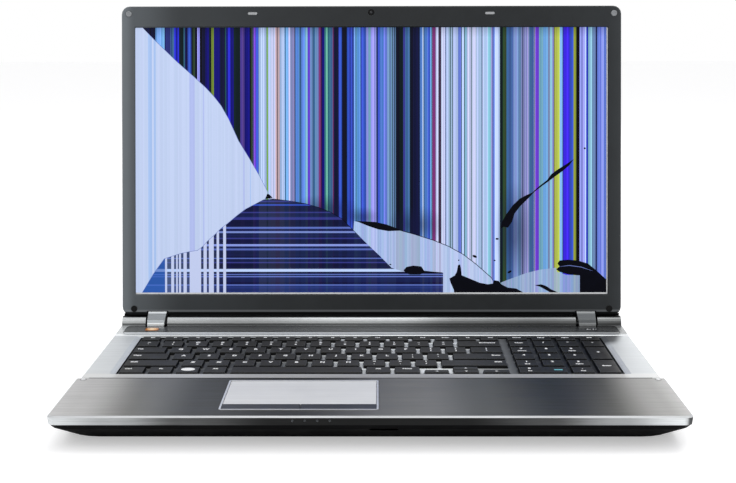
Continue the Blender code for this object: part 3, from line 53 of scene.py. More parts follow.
EYE_YAW = math.radians(0.406)
EYE_ROLL = math.radians(0.109)
lens = bpy.data.cameras.new("viewpoint")
lens.sensor_width = 36
lens.lens = 69.45
lens.clip_end = 20
viewpoint = bpy.data.objects.new("viewpoint", lens)
viewpoint.matrix_world = (Matrix.Translation(EYE) @ Matrix.Rotation(EYE_YAW, 4, "Z")
                          @ Matrix.Rotation(math.pi / 2 - EYE_PITCH, 4, "X")
                          @ Matrix.Rotation(-EYE_ROLL, 4, "Z"))
bpy.context.scene.collection.objects.link(viewpoint)
bpy.context.scene.camera = viewpoint
bpy.context.scene.view_settings.view_transform = "Standard"


# The studio: a white sheet under the laptop, wide soft lamps above and in front, and white air
# round it. The sheet is lifted to white for the camera only, so it keeps the laptop's shadow.
def node(tree, kind, *values, **settings):
    """A shader node. Values go to its inputs in order, or by name where the keyword starts with a
    capital: a socket is linked and anything else is set. Other keywords set the node itself."""
    made = tree.nodes.new(kind)
    for key, value in settings.items():
        if key[0].islower():
            setattr(made, key, value)
    named = [(made.inputs[key.replace("_", " ")], value) for key, value in settings.items()
             if key[0].isupper()]
    for socket, value in list(zip(made.inputs, values)) + named:
        if isinstance(value, bpy.types.NodeSocket):
            tree.links.new(value, socket)
        elif value is not None:
            socket.default_value = value
    return made.outputs[0] if made.outputs else made


def blank_tree(owner):
    owner.use_nodes = True
    owner.node_tree.nodes.clear()
    return owner.node_tree


def link_mesh(name, mesh):
    thing = bpy.data.objects.new(name, mesh)
    bpy.context.scene.collection.objects.link(thing)
    return thing


SHEET_HALF = 6.0
SHEET_LIFT = 0.42
AIR_LIGHT = 0.62
sheet_finish = bpy.data.materials.new("studio_sheet")
tree = blank_tree(sheet_finish)
rays = tree.nodes.new("ShaderNodeLightPath")
seen = node(tree, "ShaderNodeMath", rays.outputs["Is Camera Ray"], SHEET_LIFT, operation="MULTIPLY")
cloth = tree.nodes.new("ShaderNodeBsdfPrincipled")
cloth.inputs["Base Color"].default_value = (0.86, 0.86, 0.87, 1)
cloth.inputs["Roughness"].default_value = 0.9
cloth.inputs["Specular IOR Level"].default_value = 0.1
cloth.inputs["Emission Color"].default_value = (1, 1, 1, 1)
tree.links.new(seen, cloth.inputs["Emission Strength"])
node(tree, "ShaderNodeOutputMaterial", cloth.outputs[0])
sheet = bpy.data.meshes.new("studio_sheet")
sheet.from_pydata([(x * SHEET_HALF, y * SHEET_HALF, 0) for x, y in ((-1, -1), (1, -1), (1, 1), (-1, 1))],
                  [], [(0, 1, 2, 3)])
sheet.materials.append(sheet_finish)
link_mesh("studio_sheet", sheet)

air = bpy.data.worlds.new("studio_air")
bpy.context.scene.world = air
tree = blank_tree(air)
rays = tree.nodes.new("ShaderNodeLightPath")
white = node(tree, "ShaderNodeMath", rays.outputs["Is Camera Ray"], rays.outputs["Is Transmission Ray"],
             operation="MAXIMUM")
white = node(tree, "ShaderNodeMath", white, rays.outputs["Is Glossy Ray"], operation="MAXIMUM")
level = node(tree, "ShaderNodeMath", white, 1 - AIR_LIGHT, AIR_LIGHT, operation="MULTIPLY_ADD")
node(tree, "ShaderNodeOutputWorld", node(tree, "ShaderNodeBackground", (1, 1, 1, 1), level))


def soft_lamp(name, place, aim, side, power):
    lamp = bpy.data.lights.new(name, "AREA")
    lamp.shape = "SQUARE"
    lamp.size = side
    lamp.energy = power
    thing = bpy.data.objects.new(name, lamp)
    thing.location = place
    thing.rotation_euler = (Vector(aim) - Vector(place)).to_track_quat("-Z", "Y").to_euler()
    bpy.context.scene.collection.objects.link(thing)


soft_lamp("front_lamp", (-0.5, -1.6, 1.5), (0, 0, 0.12), 1.4, 13)
soft_lamp("top_lamp", (0.5, 0.1, 1.9), (0, 0, 0.05), 1.6, 11)
soft_lamp("rear_lamp", (0.3, 1.7, 1.2), (0, 0.1, 0.1), 1.2, 9)


# The bottom case, its hatch and the battery: black moulded plastic with a fine pebbled skin,
# a little rubbed to grey along the edges. The hatch and the battery are parts of their own.
def measured(red, green, blue):
    """A colour given as 0 to 255 on a screen, as the shader wants it."""
    return tuple(((part / 255 + 0.055) / 1.055) ** 2.4 if part > 10 else part / 255 / 12.92
                 for part in (red, green, blue)) + (1,)


def shades(tree, factor, *stops, easing="LINEAR"):
    """Colours or grey levels along a factor from 0 to 1, as (place, shade) stops."""
    ramp = tree.nodes.new("ShaderNodeValToRGB")
    ramp.color_ramp.interpolation = easing
    while len(ramp.color_ramp.elements) < len(stops):
        ramp.color_ramp.elements.new(1)
    for element, (place, shade) in zip(ramp.color_ramp.elements, stops):
        element.position = place
        element.color = shade if isinstance(shade, tuple) else (shade, shade, shade, 1)
    tree.links.new(factor, ramp.inputs[0])
    return ramp.outputs[0]


def own_place(tree, stretch=(1, 1, 1)):
    """The piece's own coordinates in metres, stretched."""
    where = tree.nodes.new("ShaderNodeTexCoord").outputs["Object"]
    return node(tree, "ShaderNodeMapping", where, Scale=stretch)


def cloudy(tree, size, detail=3, stretch=(1, 1, 1), roughness=0.5):
    """Noise from 0 to 1 whose blotches are about that size in metres."""
    return node(tree, "ShaderNodeTexNoise", own_place(tree, stretch), Scale=1 / size, Detail=detail,
                Roughness=roughness)


def rubbed_edge(tree, reach):
    """1 on edges and corners of the piece and 0 on its faces, over that reach."""
    rounded = node(tree, "ShaderNodeBevel", reach, samples=4)
    true = tree.nodes.new("ShaderNodeNewGeometry").outputs["True Normal"]
    turn = tree.nodes.new("ShaderNodeVectorMath")
    turn.operation = "DOT_PRODUCT"
    tree.links.new(rounded, turn.inputs[0])
    tree.links.new(true, turn.inputs[1])
    return node(tree, "ShaderNodeMapRange", turn.outputs["Value"], 0.985, 0.8, 0, 1)


def finish(name, colour, roughness, metallic=0.0, specular=0.5):
    """A material with its tree and shader, its base colour set to the colour given."""
    made = bpy.data.materials.new(name)
    tree = blank_tree(made)
    shader = tree.nodes.new("ShaderNodeBsdfPrincipled")
    node(tree, "ShaderNodeOutputMaterial", shader.outputs[0])
    shader.inputs["Roughness"].default_value = roughness
    shader.inputs["Metallic"].default_value = metallic
    shader.inputs["Specular IOR Level"].default_value = specular
    shader.inputs["Base Color"].default_value = colour
    return made, tree, shader


def near(tree, place, reach):
    """1 within that reach of a place in metres, and 0 beyond it."""
    away = tree.nodes.new("ShaderNodeVectorMath")
    away.operation = "DISTANCE"
    tree.links.new(tree.nodes.new("ShaderNodeTexCoord").outputs["Object"], away.inputs[0])
    away.inputs[1].default_value = place
    return node(tree, "ShaderNodeMath", away.outputs["Value"], reach, operation="LESS_THAN")


def raised(tree, shader, height, depth, strength=1.0):
    """Bumps of that depth in metres from a height socket."""
    bump = node(tree, "ShaderNodeBump", Strength=strength, Distance=depth, Height=height)
    tree.links.new(bump, shader.inputs["Normal"])


def varied(tree, shader, low, high, factor):
    """Roughness between two values."""
    tree.links.new(node(tree, "ShaderNodeMapRange", factor, 0.3, 0.7, low, high), shader.inputs["Roughness"])


def moulded(name, colour, worn, roughness=0.5, grain=0.5 * MM, depth=0.012 * MM, edge=0.35 * MM,
            specular=0.15):
    """Plastic with a fine grain, faint mottling, handled patches and rubbed edges."""
    made, tree, shader = finish(name, colour, roughness, specular=specular)
    mottled = node(tree, "ShaderNodeMixRGB", cloudy(tree, 9 * MM), colour,
                   tuple(part * 1.22 for part in colour[:3]) + (1,))
    rub = node(tree, "ShaderNodeMath", rubbed_edge(tree, edge), cloudy(tree, 3 * MM), operation="MULTIPLY")
    tree.links.new(node(tree, "ShaderNodeMixRGB", rub, mottled, worn), shader.inputs["Base Color"])
    varied(tree, shader, roughness - 0.09, roughness + 0.09, cloudy(tree, 26 * MM, detail=5))
    raised(tree, shader, cloudy(tree, grain, detail=2), depth)
    return made


def dress(material, *names):
    """Gives CAD nodes their material."""
    for name in names:
        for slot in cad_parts[name].material_slots:
            slot.material = material


case_black = moulded("case_black", measured(2, 2, 3), measured(34, 35, 37), roughness=0.56,
                     grain=0.7 * MM, depth=0.03 * MM, specular=0.06)
dress(case_black, "bottom_case", "bottom_hatch")
battery_black = moulded("battery_black", measured(24, 25, 27), measured(84, 85, 88), roughness=0.46)
dress(battery_black, "battery_pack")
slider_black = moulded("slider_black", measured(36, 37, 39), measured(120, 121, 124), roughness=0.42)
dress(slider_black, "battery_latch", "battery_lock")


# The screws of the case and the hatch: small zinc-plated heads with a cross recess, sunk in the
# round pockets of the floor.
def lofted(shape, rings, closed_start=True, closed_end=True):
    """Adds a skin through rings of as many points to a bmesh; an end may be left open."""
    rows = [[shape.verts.new(point) for point in ring] for ring in rings]
    for low, high in zip(rows, rows[1:]):
        for i in range(len(low)):
            j = (i + 1) % len(low)
            shape.faces.new((low[i], low[j], high[j], high[i]))
    if closed_start:
        shape.faces.new(rows[0][::-1])
    if closed_end:
        shape.faces.new(rows[-1])
    return rows


def build(name, shape, material, body, place=None, crease=35):
    """A piece made of a bmesh, placed by a matrix or where the CAD is, riding on a body."""
    bmesh.ops.recalc_face_normals(shape, faces=shape.faces)
    mesh = bpy.data.meshes.new(name)
    shape.to_mesh(mesh)
    shape.free()
    for one in material if isinstance(material, list) else [material]:
        mesh.materials.append(one)
    mesh.shade_smooth()
    mesh.set_sharp_from_angle(angle=math.radians(crease))
    thing = link_mesh(name, mesh)
    if place is not None:
        thing.matrix_world = place
    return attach(thing, body)


def ring(radius, x, y, z, points=24, start=0.0):
    turns = [start + 2 * math.pi * i / points for i in range(points)]
    return [(x + radius * math.cos(turn), y + radius * math.sin(turn), z) for turn in turns]


def cross_outline(reach, half, x, y, z):
    """24 points round a cross, from its right arm's lower corner."""
    arm = [(reach, -half), (reach, 0), (reach, half), ((reach + half) / 2, half), (half, half),
           (half, (reach + half) / 2)]
    points = []
    for quarter in range(4):
        cos, sin = (1, 0, -1, 0)[quarter], (0, 1, 0, -1)[quarter]
        points += [(x + cos * a - sin * b, y + sin * a + cos * b, z) for a, b in arm]
    return points


SCREW_HEAD = 2.5 * MM
POCKET_TOP = 3.0 * MM
CASE_SCREWS = [(side * x, y) for side in (-1, 1) for x, y in
               ((185, 70), (186, 148), (186, 258), (100, 40))] + [(-42, 135), (52, 135)]
zinc, tree, shader = finish("zinc_plate", measured(150, 152, 156), 0.34, metallic=1.0)
tree.links.new(node(tree, "ShaderNodeMixRGB", cloudy(tree, 0.8 * MM), measured(128, 130, 134),
                    measured(176, 178, 182)), shader.inputs["Base Color"])
raised(tree, shader, cloudy(tree, 0.2 * MM), 0.01 * MM)
screws = bmesh.new()
for x, y in CASE_SCREWS:
    x, y = x * MM, FRONT_EDGE + y * MM
    turned = -math.atan2(0.5, 1) / 2
    lofted(screws, [ring(SCREW_HEAD, x, y, POCKET_TOP - 0.02 * MM, start=turned),
                    ring(SCREW_HEAD, x, y, POCKET_TOP - 0.45 * MM, start=turned),
                    ring(SCREW_HEAD - 0.4 * MM, x, y, POCKET_TOP - 0.75 * MM, start=turned),
                    cross_outline(1.4 * MM, 0.32 * MM, x, y, POCKET_TOP - 0.78 * MM),
                    cross_outline(1.2 * MM, 0.24 * MM, x, y, POCKET_TOP - 0.25 * MM)])
build("case_screws", screws, zinc, "base")


# Four round feet of soft black rubber, stuck to the floor of the case and dulled by dust.
foot_rubber = moulded("foot_rubber", measured(34, 34, 35), measured(84, 83, 80), roughness=0.78,
                      grain=1.2 * MM, depth=0.05 * MM)
dress(foot_rubber, "foot_front_left", "foot_front_right", "foot_rear_left", "foot_rear_right")


# What the case holds: a green circuit board with its memory and radio cards, a black chip and fan,
# a copper pipe and fins, a hard drive in aluminium and speakers, all screwed or clipped inside.
def bare_metal(name, colour, roughness, stain, grain=0.6 * MM):
    """Plain sheet metal with a rolled grain along x and faint stains."""
    made, tree, shader = finish(name, colour, roughness, metallic=1.0)
    stained = node(tree, "ShaderNodeMixRGB", cloudy(tree, 11 * MM, detail=5), colour, stain)
    rolled = cloudy(tree, grain, stretch=(0.06, 1, 1))
    tree.links.new(node(tree, "ShaderNodeMixRGB", node(tree, "ShaderNodeMath", rolled, 0.35, operation="MULTIPLY"),
                        stained, tuple(part * 0.7 for part in colour[:3]) + (1,)), shader.inputs["Base Color"])
    varied(tree, shader, roughness - 0.08, roughness + 0.1, rolled)
    raised(tree, shader, rolled, 0.01 * MM)
    return made


TRACE = 1.3 * MM
board_green, tree, shader = finish("board_green", measured(20, 84, 52), 0.34)
tracks = node(tree, "ShaderNodeTexBrick", own_place(tree), measured(16, 74, 45), measured(28, 104, 64),
              measured(70, 140, 86), Scale=1 / TRACE / 6, Mortar_Size=0.03, Brick_Width=0.9, Row_Height=0.16)
tree.links.new(tracks, shader.inputs["Base Color"])
raised(tree, shader, tracks, 0.03 * MM)
dress(board_green, "motherboard", "memory_module", "wireless_card")
part_black = moulded("part_black", measured(28, 29, 30), measured(74, 75, 77), roughness=0.5)
dress(part_black, "processor", "fan_housing", "fan_rotor", "speaker_left", "speaker_right",
      "display_cable_base", "display_cable_lid")
copper = bare_metal("copper", measured(205, 128, 88), 0.3, measured(160, 92, 66))
dress(copper, "heat_pipe", "heatsink_fins")
drive_metal = bare_metal("drive_metal", measured(188, 190, 193), 0.36, measured(160, 162, 166))
dress(drive_metal, "hard_drive")
bright_steel = bare_metal("bright_steel", measured(176, 178, 181), 0.3, measured(146, 148, 151))
dress(bright_steel, "lcd_panel", "optical_drive_case", "drive_spindle")
greased_steel = bare_metal("greased_steel", measured(58, 59, 61), 0.46, measured(36, 36, 38))
dress(greased_steel, "hinge_bracket_left", "hinge_bracket_right", "hinge_arm_left", "hinge_arm_right")


# The sockets in the two side walls: pressed steel shells or black blocks on the board's edge, with
# gilt contacts on the tongues of the two flat kinds.
shell_steel = bare_metal("shell_steel", measured(186, 188, 190), 0.26, measured(150, 152, 156), grain=0.3 * MM)
dress(shell_steel, "usb_port_left", "usb_port_right", "hdmi_port", "video_port")
socket_black = moulded("socket_black", measured(24, 25, 26), measured(70, 71, 73), roughness=0.4,
                       grain=0.3 * MM)
dress(socket_black, "network_port", "audio_jacks", "power_jack")
gilt = bare_metal("gilt", measured(226, 184, 96), 0.22, measured(196, 150, 70), grain=0.2 * MM)


def brick(shape, left, right, front, rear, bottom, top):
    """A small block with its upper edges broken, added to a bmesh."""
    edge = min(right - left, rear - front, top - bottom) * 0.2
    rings = []
    for inset, z in ((0, bottom), (0, top - edge), (edge, top)):
        rings.append([(left + inset, front + inset, z), (right - inset, front + inset, z),
                      (right - inset, rear - inset, z), (left + inset, rear - inset, z)])
    lofted(shape, rings)


# Contacts: socket, how many, contact width, and depth of their ends behind the mouth
CONTACTS = (("usb_port_left", 4, 1.0, -1), ("usb_port_right", 4, 1.0, 1), ("hdmi_port", 9, 0.45, -1))
contacts = bmesh.new()
for name, count, wide, side in CONTACTS:
    low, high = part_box(name)
    mouth = high.x if side > 0 else low.x
    inner = sorted((mouth - side * 1.2 * MM, mouth - side * 8 * MM))
    middle = (low.z + high.z) / 2
    reach = (high.y - low.y) - 4.4 * MM
    for i in range(count):
        y = low.y + 2.2 * MM + reach * (i + 0.5) / count
        top = middle + 0.8 * MM + (0.12 * MM if count == 4 else 0.02 * MM)
        brick(contacts, *inner, y - wide * MM / 2, y + wide * MM / 2, middle + 0.6 * MM, top)
build("socket_contacts", contacts, gilt, "base")


# The optical drive's tray: black plastic behind a satin faceplate, with a pin hole to free it by
# hand and a small lamp beside the button that opens it.
tray_black = moulded("tray_black", measured(34, 35, 37), measured(98, 99, 102), roughness=0.4)
dress(tray_black, "drive_tray", "eject_button")
low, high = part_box("drive_tray")
FACE_X = high.x
eject_low, eject_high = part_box("eject_button")
tray_marks = bmesh.new()
MARK_Z = (eject_low.z + eject_high.z) / 2


def side_disc(shape, radius, y, z, inner_x, outer_x):
    """A small disc whose axis lies along x, added to a bmesh."""
    rings = []
    for inset, x in ((0, inner_x), (0, outer_x - 0.05 * MM), (radius * 0.25, outer_x)):
        rings.append([(x, b, c) for b, c, _ in ring(radius - inset, y, z, 0, 12)])
    lofted(shape, rings)


side_disc(tray_marks, 0.9 * MM, eject_low.y - 6 * MM, MARK_Z, FACE_X - 0.3 * MM, FACE_X + 0.12 * MM)
lamp_lens, tree, shader = finish("lamp_lens", measured(86, 132, 84), 0.2)
shader.inputs["Coat Weight"].default_value = 0.6
tree.links.new(node(tree, "ShaderNodeMixRGB", cloudy(tree, 0.6 * MM), measured(74, 118, 72),
                    measured(112, 160, 104)), shader.inputs["Base Color"])
build("drive_lamp", tray_marks, lamp_lens, "drive_tray")


# The palm rest: one pressed aluminium cover, brushed along x, with a bright cut edge along the front and sides.
# Its broad bands of light and dark along x, on the top and on the front face, are painted reflections.
def brushed(tree, shader, base, roughness, grain=0.16 * MM, streak=0.16, depth=0.004 * MM, along=(0.02, 1, 1)):
    """Brushed metal over a base colour socket: fine streaks in tone, gloss and height."""
    fine = cloudy(tree, grain, detail=4, stretch=along, roughness=0.65)
    broad = cloudy(tree, grain * 9, detail=2, stretch=along)
    streaks = node(tree, "ShaderNodeMath", fine, broad, operation="ADD")
    dark = node(tree, "ShaderNodeMapRange", streaks, 0.75, 1.25, 1 - streak, 1 + streak)
    toned = tree.nodes.new("ShaderNodeVectorMath")
    toned.operation = "SCALE"
    tree.links.new(base, toned.inputs[0])
    tree.links.new(dark, toned.inputs["Scale"])
    tree.links.new(toned.outputs[0], shader.inputs["Base Color"])
    tree.links.new(node(tree, "ShaderNodeMapRange", streaks, 0.7, 1.3, roughness - 0.07, roughness + 0.08),
                   shader.inputs["Roughness"])
    raised(tree, shader, fine, depth)


def across(tree, left, right, *stops, tint=(0.985, 1.0, 1.005), cool=0):
    """Grey levels along x between two places, as (x, level) stops in millimetres; cool adds blue
    to the dark ones."""
    x = node(tree, "ShaderNodeSeparateXYZ", tree.nodes.new("ShaderNodeTexCoord").outputs["Object"])
    place = node(tree, "ShaderNodeMapRange", x, left * MM, right * MM, 0, 1)
    return shades(tree, place, *[((at - left) / (right - left), measured(level * tint[0], level * tint[1], level * tint[2] + cool * (1 - level / 255)))
                                 for at, level in stops], easing="EASE")


HALF_BASE = 205
palm_metal, tree, shader = finish("palm_metal", measured(90, 91, 92), 0.42, metallic=0.25, specular=0.12)
# Painted reflection: broad bands of light and dark along x on the top and on the front face.
top_reflection_bands = across(tree, -HALF_BASE, HALF_BASE, (-205, 188), (-190, 178), (-150, 114), (-110, 66), (-55, 56),
                   (35, 120), (75, 86), (125, 34), (155, 58), (190, 142), (205, 172), tint=(0.995, 0.99, 1.0), cool=-9)
front_reflection_bands = across(tree, -HALF_BASE, HALF_BASE, (-205, 240), (-165, 184), (-120, 92), (-60, 36),
                     (0, 30), (60, 34), (115, 84), (160, 172), (199.6, 250), (201.4, 96), (205, 62))
split = tree.nodes.new("ShaderNodeSeparateXYZ")
tree.links.new(tree.nodes.new("ShaderNodeNewGeometry").outputs["True Normal"], split.inputs[0])
upward = split.outputs["Z"]
level_face = node(tree, "ShaderNodeMapRange", upward, 0.94, 0.97, 0, 1)
wall_face = node(tree, "ShaderNodeMapRange", upward, 0.35, 0.3, 0, 1)
CUT_EDGE = measured(196, 198, 200)
base = node(tree, "ShaderNodeMixRGB", level_face, CUT_EDGE, top_reflection_bands)
base = node(tree, "ShaderNodeMixRGB", wall_face, base, front_reflection_bands)
STOP_PLACE = Vector((199.0 * MM, FRONT_EDGE + 88.5 * MM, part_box("palm_rest")[1].z))
for side in (-1, 1):
    stop_spot = Vector((side * STOP_PLACE.x, STOP_PLACE.y, STOP_PLACE.z))
    base = node(tree, "ShaderNodeMixRGB", near(tree, stop_spot, 2.3 * MM), base, measured(64, 66, 68))
    base = node(tree, "ShaderNodeMixRGB", near(tree, stop_spot, 1.75 * MM), base, measured(236, 237, 238))
brushed(tree, shader, base, 0.42)
dress(palm_metal, "palm_rest")


# Four status lights behind the front edge: small clear lenses in round holes, unlit.
LIGHTS_LEFT = -48.9
LIGHT_STEP = 7.9
LIGHT_Z = 21.1 * MM
pale_lens, tree, shader = finish("pale_lens", measured(58, 62, 66), 0.2, specular=0.3)
tree.links.new(node(tree, "ShaderNodeMixRGB", cloudy(tree, 0.5 * MM), measured(46, 50, 54),
                    measured(78, 82, 86)), shader.inputs["Base Color"])
lights = bmesh.new()
for i in range(4):
    x = (LIGHTS_LEFT + LIGHT_STEP * i) * MM
    rings = [[(a, FRONT_EDGE + deep * MM, b) for a, b, _ in ring(radius * MM, x, LIGHT_Z, 0, 12)]
             for radius, deep in ((0.75, 0.98), (0.75, 0.35), (0.5, 0.2))]
    lofted(lights, rings)
build("status_lights", lights, pale_lens, "base")


# The touchpad: a pale satin plastic plate and two dark brushed buttons below it, framed by a bright
# rim of cut metal that is clipped into the palm rest.
pad_grey, tree, shader = finish("pad_grey", measured(200, 201, 202), 0.45, specular=0.15)
pad_tone = node(tree, "ShaderNodeMixRGB", cloudy(tree, 30 * MM), measured(204, 205, 207), measured(218, 219, 221))
brushed(tree, shader, pad_tone, 0.45, grain=0.25 * MM, streak=0.04)
dress(pad_grey, "touchpad")
button_steel, tree, shader = finish("button_steel", measured(72, 73, 77), 0.4, metallic=0.2, specular=0.15)
button_tone = node(tree, "ShaderNodeMixRGB", cloudy(tree, 20 * MM), measured(56, 57, 58), measured(72, 73, 74))
brushed(tree, shader, button_tone, 0.4, grain=0.2 * MM, streak=0.1)
dress(button_steel, "touchpad_button_left", "touchpad_button_right")
rim_metal, tree, shader = finish("rim_metal", measured(214, 215, 217), 0.34, metallic=0.4, specular=0.3)
rim_tone = node(tree, "ShaderNodeMixRGB", cloudy(tree, 14 * MM), measured(202, 204, 206), measured(224, 225, 227))
brushed(tree, shader, rim_tone, 0.34, grain=0.12 * MM, streak=0.07)
dress(rim_metal, "touchpad_bezel")


# The keyboard deck: the same sheet left silver, brushed along x. Its bands of light and dark along x are painted
# reflections; painted shade darkens the well's walls and the back right corner, and a painted lighter strip runs along
# its front.
deck_metal, tree, shader = finish("deck_metal", measured(196, 197, 199), 0.42, metallic=0.25, specular=0.12)
# Painted reflection: bands of light and dark along x.
deck_reflection_bands = across(tree, -HALF_BASE, HALF_BASE, (-205, 213), (-182, 208), (-176, 150), (-40, 120), (60, 104),
                    (150, 96), (176, 120), (181, 196), (205, 209))
split = node(tree, "ShaderNodeSeparateXYZ", tree.nodes.new("ShaderNodeTexCoord").outputs["Object"]).node
# Painted shade: a dark patch at the back right corner of the key well.
fold = node(tree, "ShaderNodeMapRange", split.outputs["Y"], FRONT_EDGE + 190 * MM, FRONT_EDGE + 222 * MM, 0, 1)
reach = node(tree, "ShaderNodeMath", fold, 9 * MM, 185 * MM, operation="MULTIPLY_ADD")
beside = node(tree, "ShaderNodeMath", split.outputs["X"], reach, operation="SUBTRACT")
smear_and_painted_shade = node(tree, "ShaderNodeMapRange", beside, 5 * MM, -3 * MM, 0, 1, interpolation_type="SMOOTHSTEP")
smear_and_painted_shade = node(tree, "ShaderNodeMath", smear_and_painted_shade, node(tree, "ShaderNodeMapRange", fold, 0.0, 0.4, 0, 0.85),
             operation="MULTIPLY")
smear_and_painted_shade = node(tree, "ShaderNodeMath", smear_and_painted_shade, node(tree, "ShaderNodeMath", split.outputs["X"], 0.0,
                                                 operation="GREATER_THAN"), operation="MULTIPLY")
deck_tone = node(tree, "ShaderNodeMixRGB", smear_and_painted_shade, deck_reflection_bands, measured(44, 46, 48))
# Painted light: the deck lighter along its front by the palm rest.
painted_light_by_palm = node(tree, "ShaderNodeMapRange", split.outputs["Y"], FRONT_EDGE + 107 * MM, FRONT_EDGE + 103 * MM,
                   0, 0.45)
deck_tone = node(tree, "ShaderNodeMixRGB", painted_light_by_palm, deck_tone, measured(224, 222, 218))
facing = tree.nodes.new("ShaderNodeSeparateXYZ")
tree.links.new(tree.nodes.new("ShaderNodeNewGeometry").outputs["True Normal"], facing.inputs[0])
# Painted shade: the well's steep walls painted dark.
painted_well_shade = node(tree, "ShaderNodeMath", facing.outputs["Z"], 0.5, operation="LESS_THAN")
inside_edge = node(tree, "ShaderNodeMath", split.outputs["X"], 0.0, operation="ABSOLUTE")
inside_edge = node(tree, "ShaderNodeMath", inside_edge, 196 * MM, operation="LESS_THAN")
painted_well_shade = node(tree, "ShaderNodeMath", painted_well_shade, inside_edge, operation="MULTIPLY")
deck_tone = node(tree, "ShaderNodeMixRGB", painted_well_shade, deck_tone, measured(34, 35, 36))
brushed(tree, shader, deck_tone, 0.42, streak=0.08)
dress(deck_metal, "keyboard_deck")


# The keyboard: black satin caps on a silver plate, sunk in the deck's well, with their letters printed in white. The
# plate's bright middle and dark ends are a painted reflection, and it is painted dark as shade close to the caps; the
# caps carry painted reflection bands along x, a painted highlight on their edges and sides painted black as shade. The
# space bar moves; the others are one with it.
key_black, tree, shader = finish("key_black", measured(30, 32, 34), 0.5, specular=0.12)
KEY_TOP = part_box("keyboard")[1].z
height = node(tree, "ShaderNodeSeparateXYZ", tree.nodes.new("ShaderNodeTexCoord").outputs["Object"])
height = height.node.outputs["Z"]
# Painted shade: the caps' sides below their tops painted black.
painted_dark_cap_side = node(tree, "ShaderNodeMapRange", height, KEY_TOP - 0.5 * MM, KEY_TOP - 0.1 * MM, 0, 1)
# Painted reflection: the caps' tones along x, lighter at the middle and at the right end.
cap_reflection_tone = across(tree, -HALF_BASE, HALF_BASE, (-205, 38), (-100, 46), (0, 58), (60, 56), (100, 40), (130, 24),
                  (172, 24), (178, 60), (205, 60), tint=(1.0, 0.985, 0.94))
cap_reflection_tone = node(tree, "ShaderNodeMixRGB", node(tree, "ShaderNodeMath", cloudy(tree, 22 * MM), 0.12,
                                               operation="MULTIPLY"), cap_reflection_tone, measured(84, 83, 80))
cap_reflection_tone = node(tree, "ShaderNodeMixRGB", painted_dark_cap_side, measured(3, 3, 4), cap_reflection_tone)
# Painted highlight: the caps' edges lighter.
painted_edge_highlight = node(tree, "ShaderNodeMath", rubbed_edge(tree, 0.4 * MM), 0.8, operation="MULTIPLY")
caps_with_highlight = node(tree, "ShaderNodeMixRGB", painted_edge_highlight, cap_reflection_tone, measured(118, 122, 126))
# Painted reflection: the plate light at its middle and dark at its ends; painted shade by ambient occlusion darkens it
# close to the caps.
plate_reflection_bands = across(tree, -HALF_BASE, HALF_BASE, (-205, 84), (-110, 84), (-50, 130), (-15, 226), (60, 232),
                     (85, 150), (110, 66), (140, 34), (205, 34))
contact_shade_ao = tree.nodes.new("ShaderNodeAmbientOcclusion")
contact_shade_ao.samples = 8
contact_shade_ao.inputs["Distance"].default_value = 3.0 * MM
unshaded_gap = node(tree, "ShaderNodeMapRange", contact_shade_ao.outputs["AO"], 0.62, 0.8, 0.05, 1)
plate_tone = node(tree, "ShaderNodeMixRGB", unshaded_gap, measured(6, 6, 7), plate_reflection_bands)
on_plate = node(tree, "ShaderNodeMapRange", height, KEY_TOP - 2.2 * MM, KEY_TOP - 2.25 * MM, 0, 1)
tree.links.new(node(tree, "ShaderNodeMixRGB", on_plate, caps_with_highlight, plate_tone), shader.inputs["Base Color"])
varied(tree, shader, 0.44, 0.6, cloudy(tree, 12 * MM, detail=4))
raised(tree, shader, cloudy(tree, 0.25 * MM, detail=2), 0.006 * MM)
dress(key_black, "keyboard", "space_bar")
for name in ("keyboard", "space_bar"):
    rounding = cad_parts[name].modifiers.new("rounding", "BEVEL")
    rounding.width = 0.9 * MM
    rounding.segments = 3
    rounding.limit_method = "ANGLE"
    rounding.angle_limit = math.radians(35)

KEY_PITCH = 18.8
ROW_PITCH = 19.6
KEY_GAP = 3.0
ROW_GAP = 3.6
KEYS_LEFT = -178.2
KEYS_FRONT = 107.2
TOP_ROW_DEPTH = 10.6
PAD_START = KEYS_LEFT + 14.9 * KEY_PITCH + 3.3
PRINT_HEIGHT = 0.05 * MM
LETTER = 5.0
WORD = 3.4
SMALL = 2.9

print_white, tree, shader = finish("print_white", measured(244, 245, 245), 0.6, specular=0.1)
tree.links.new(node(tree, "ShaderNodeMixRGB", cloudy(tree, 1.5 * MM), measured(232, 233, 234),
                    measured(250, 250, 250)), shader.inputs["Base Color"])
print_teal, tree, shader = finish("print_teal", measured(96, 178, 190), 0.6)
tree.links.new(node(tree, "ShaderNodeMixRGB", cloudy(tree, 1.5 * MM), measured(82, 164, 178),
                    measured(118, 196, 206)), shader.inputs["Base Color"])

legends = {"keyboard": bmesh.new(), "teal": bmesh.new()}
glyphs = {}


def glyph(text):
    """The mesh of a text one unit high, made once."""
    if text not in glyphs:
        curve = bpy.data.curves.new("glyph", "FONT")
        curve.body = text
        curve.align_x = "CENTER"
        curve.align_y = "CENTER"
        curve.resolution_u = 2
        curve.extrude = 0.01
        curve.offset = 0.05
        scratch = bpy.data.objects.new("glyph", curve)
        glyphs[text] = bpy.data.meshes.new_from_object(scratch)
        bpy.data.objects.remove(scratch)
    return glyphs[text]


def legend(text, x, y, size, colour="keyboard", stretch=0.88):
    """Prints a text on a cap's top, with its middle at x and y in bench millimetres."""
    mesh = glyph(text).copy()
    mesh.transform(Matrix.Translation((x * MM, FRONT_EDGE + y * MM, KEY_TOP + PRINT_HEIGHT / 2))
                   @ Matrix.Diagonal((size * MM * stretch, size * MM, size * MM, 1)))
    legends[colour].from_mesh(mesh)
    bpy.data.meshes.remove(mesh)


def row_span(row):
    front = KEYS_FRONT + row * ROW_PITCH
    return front, front + (TOP_ROW_DEPTH if row == 5 else ROW_PITCH - ROW_GAP)


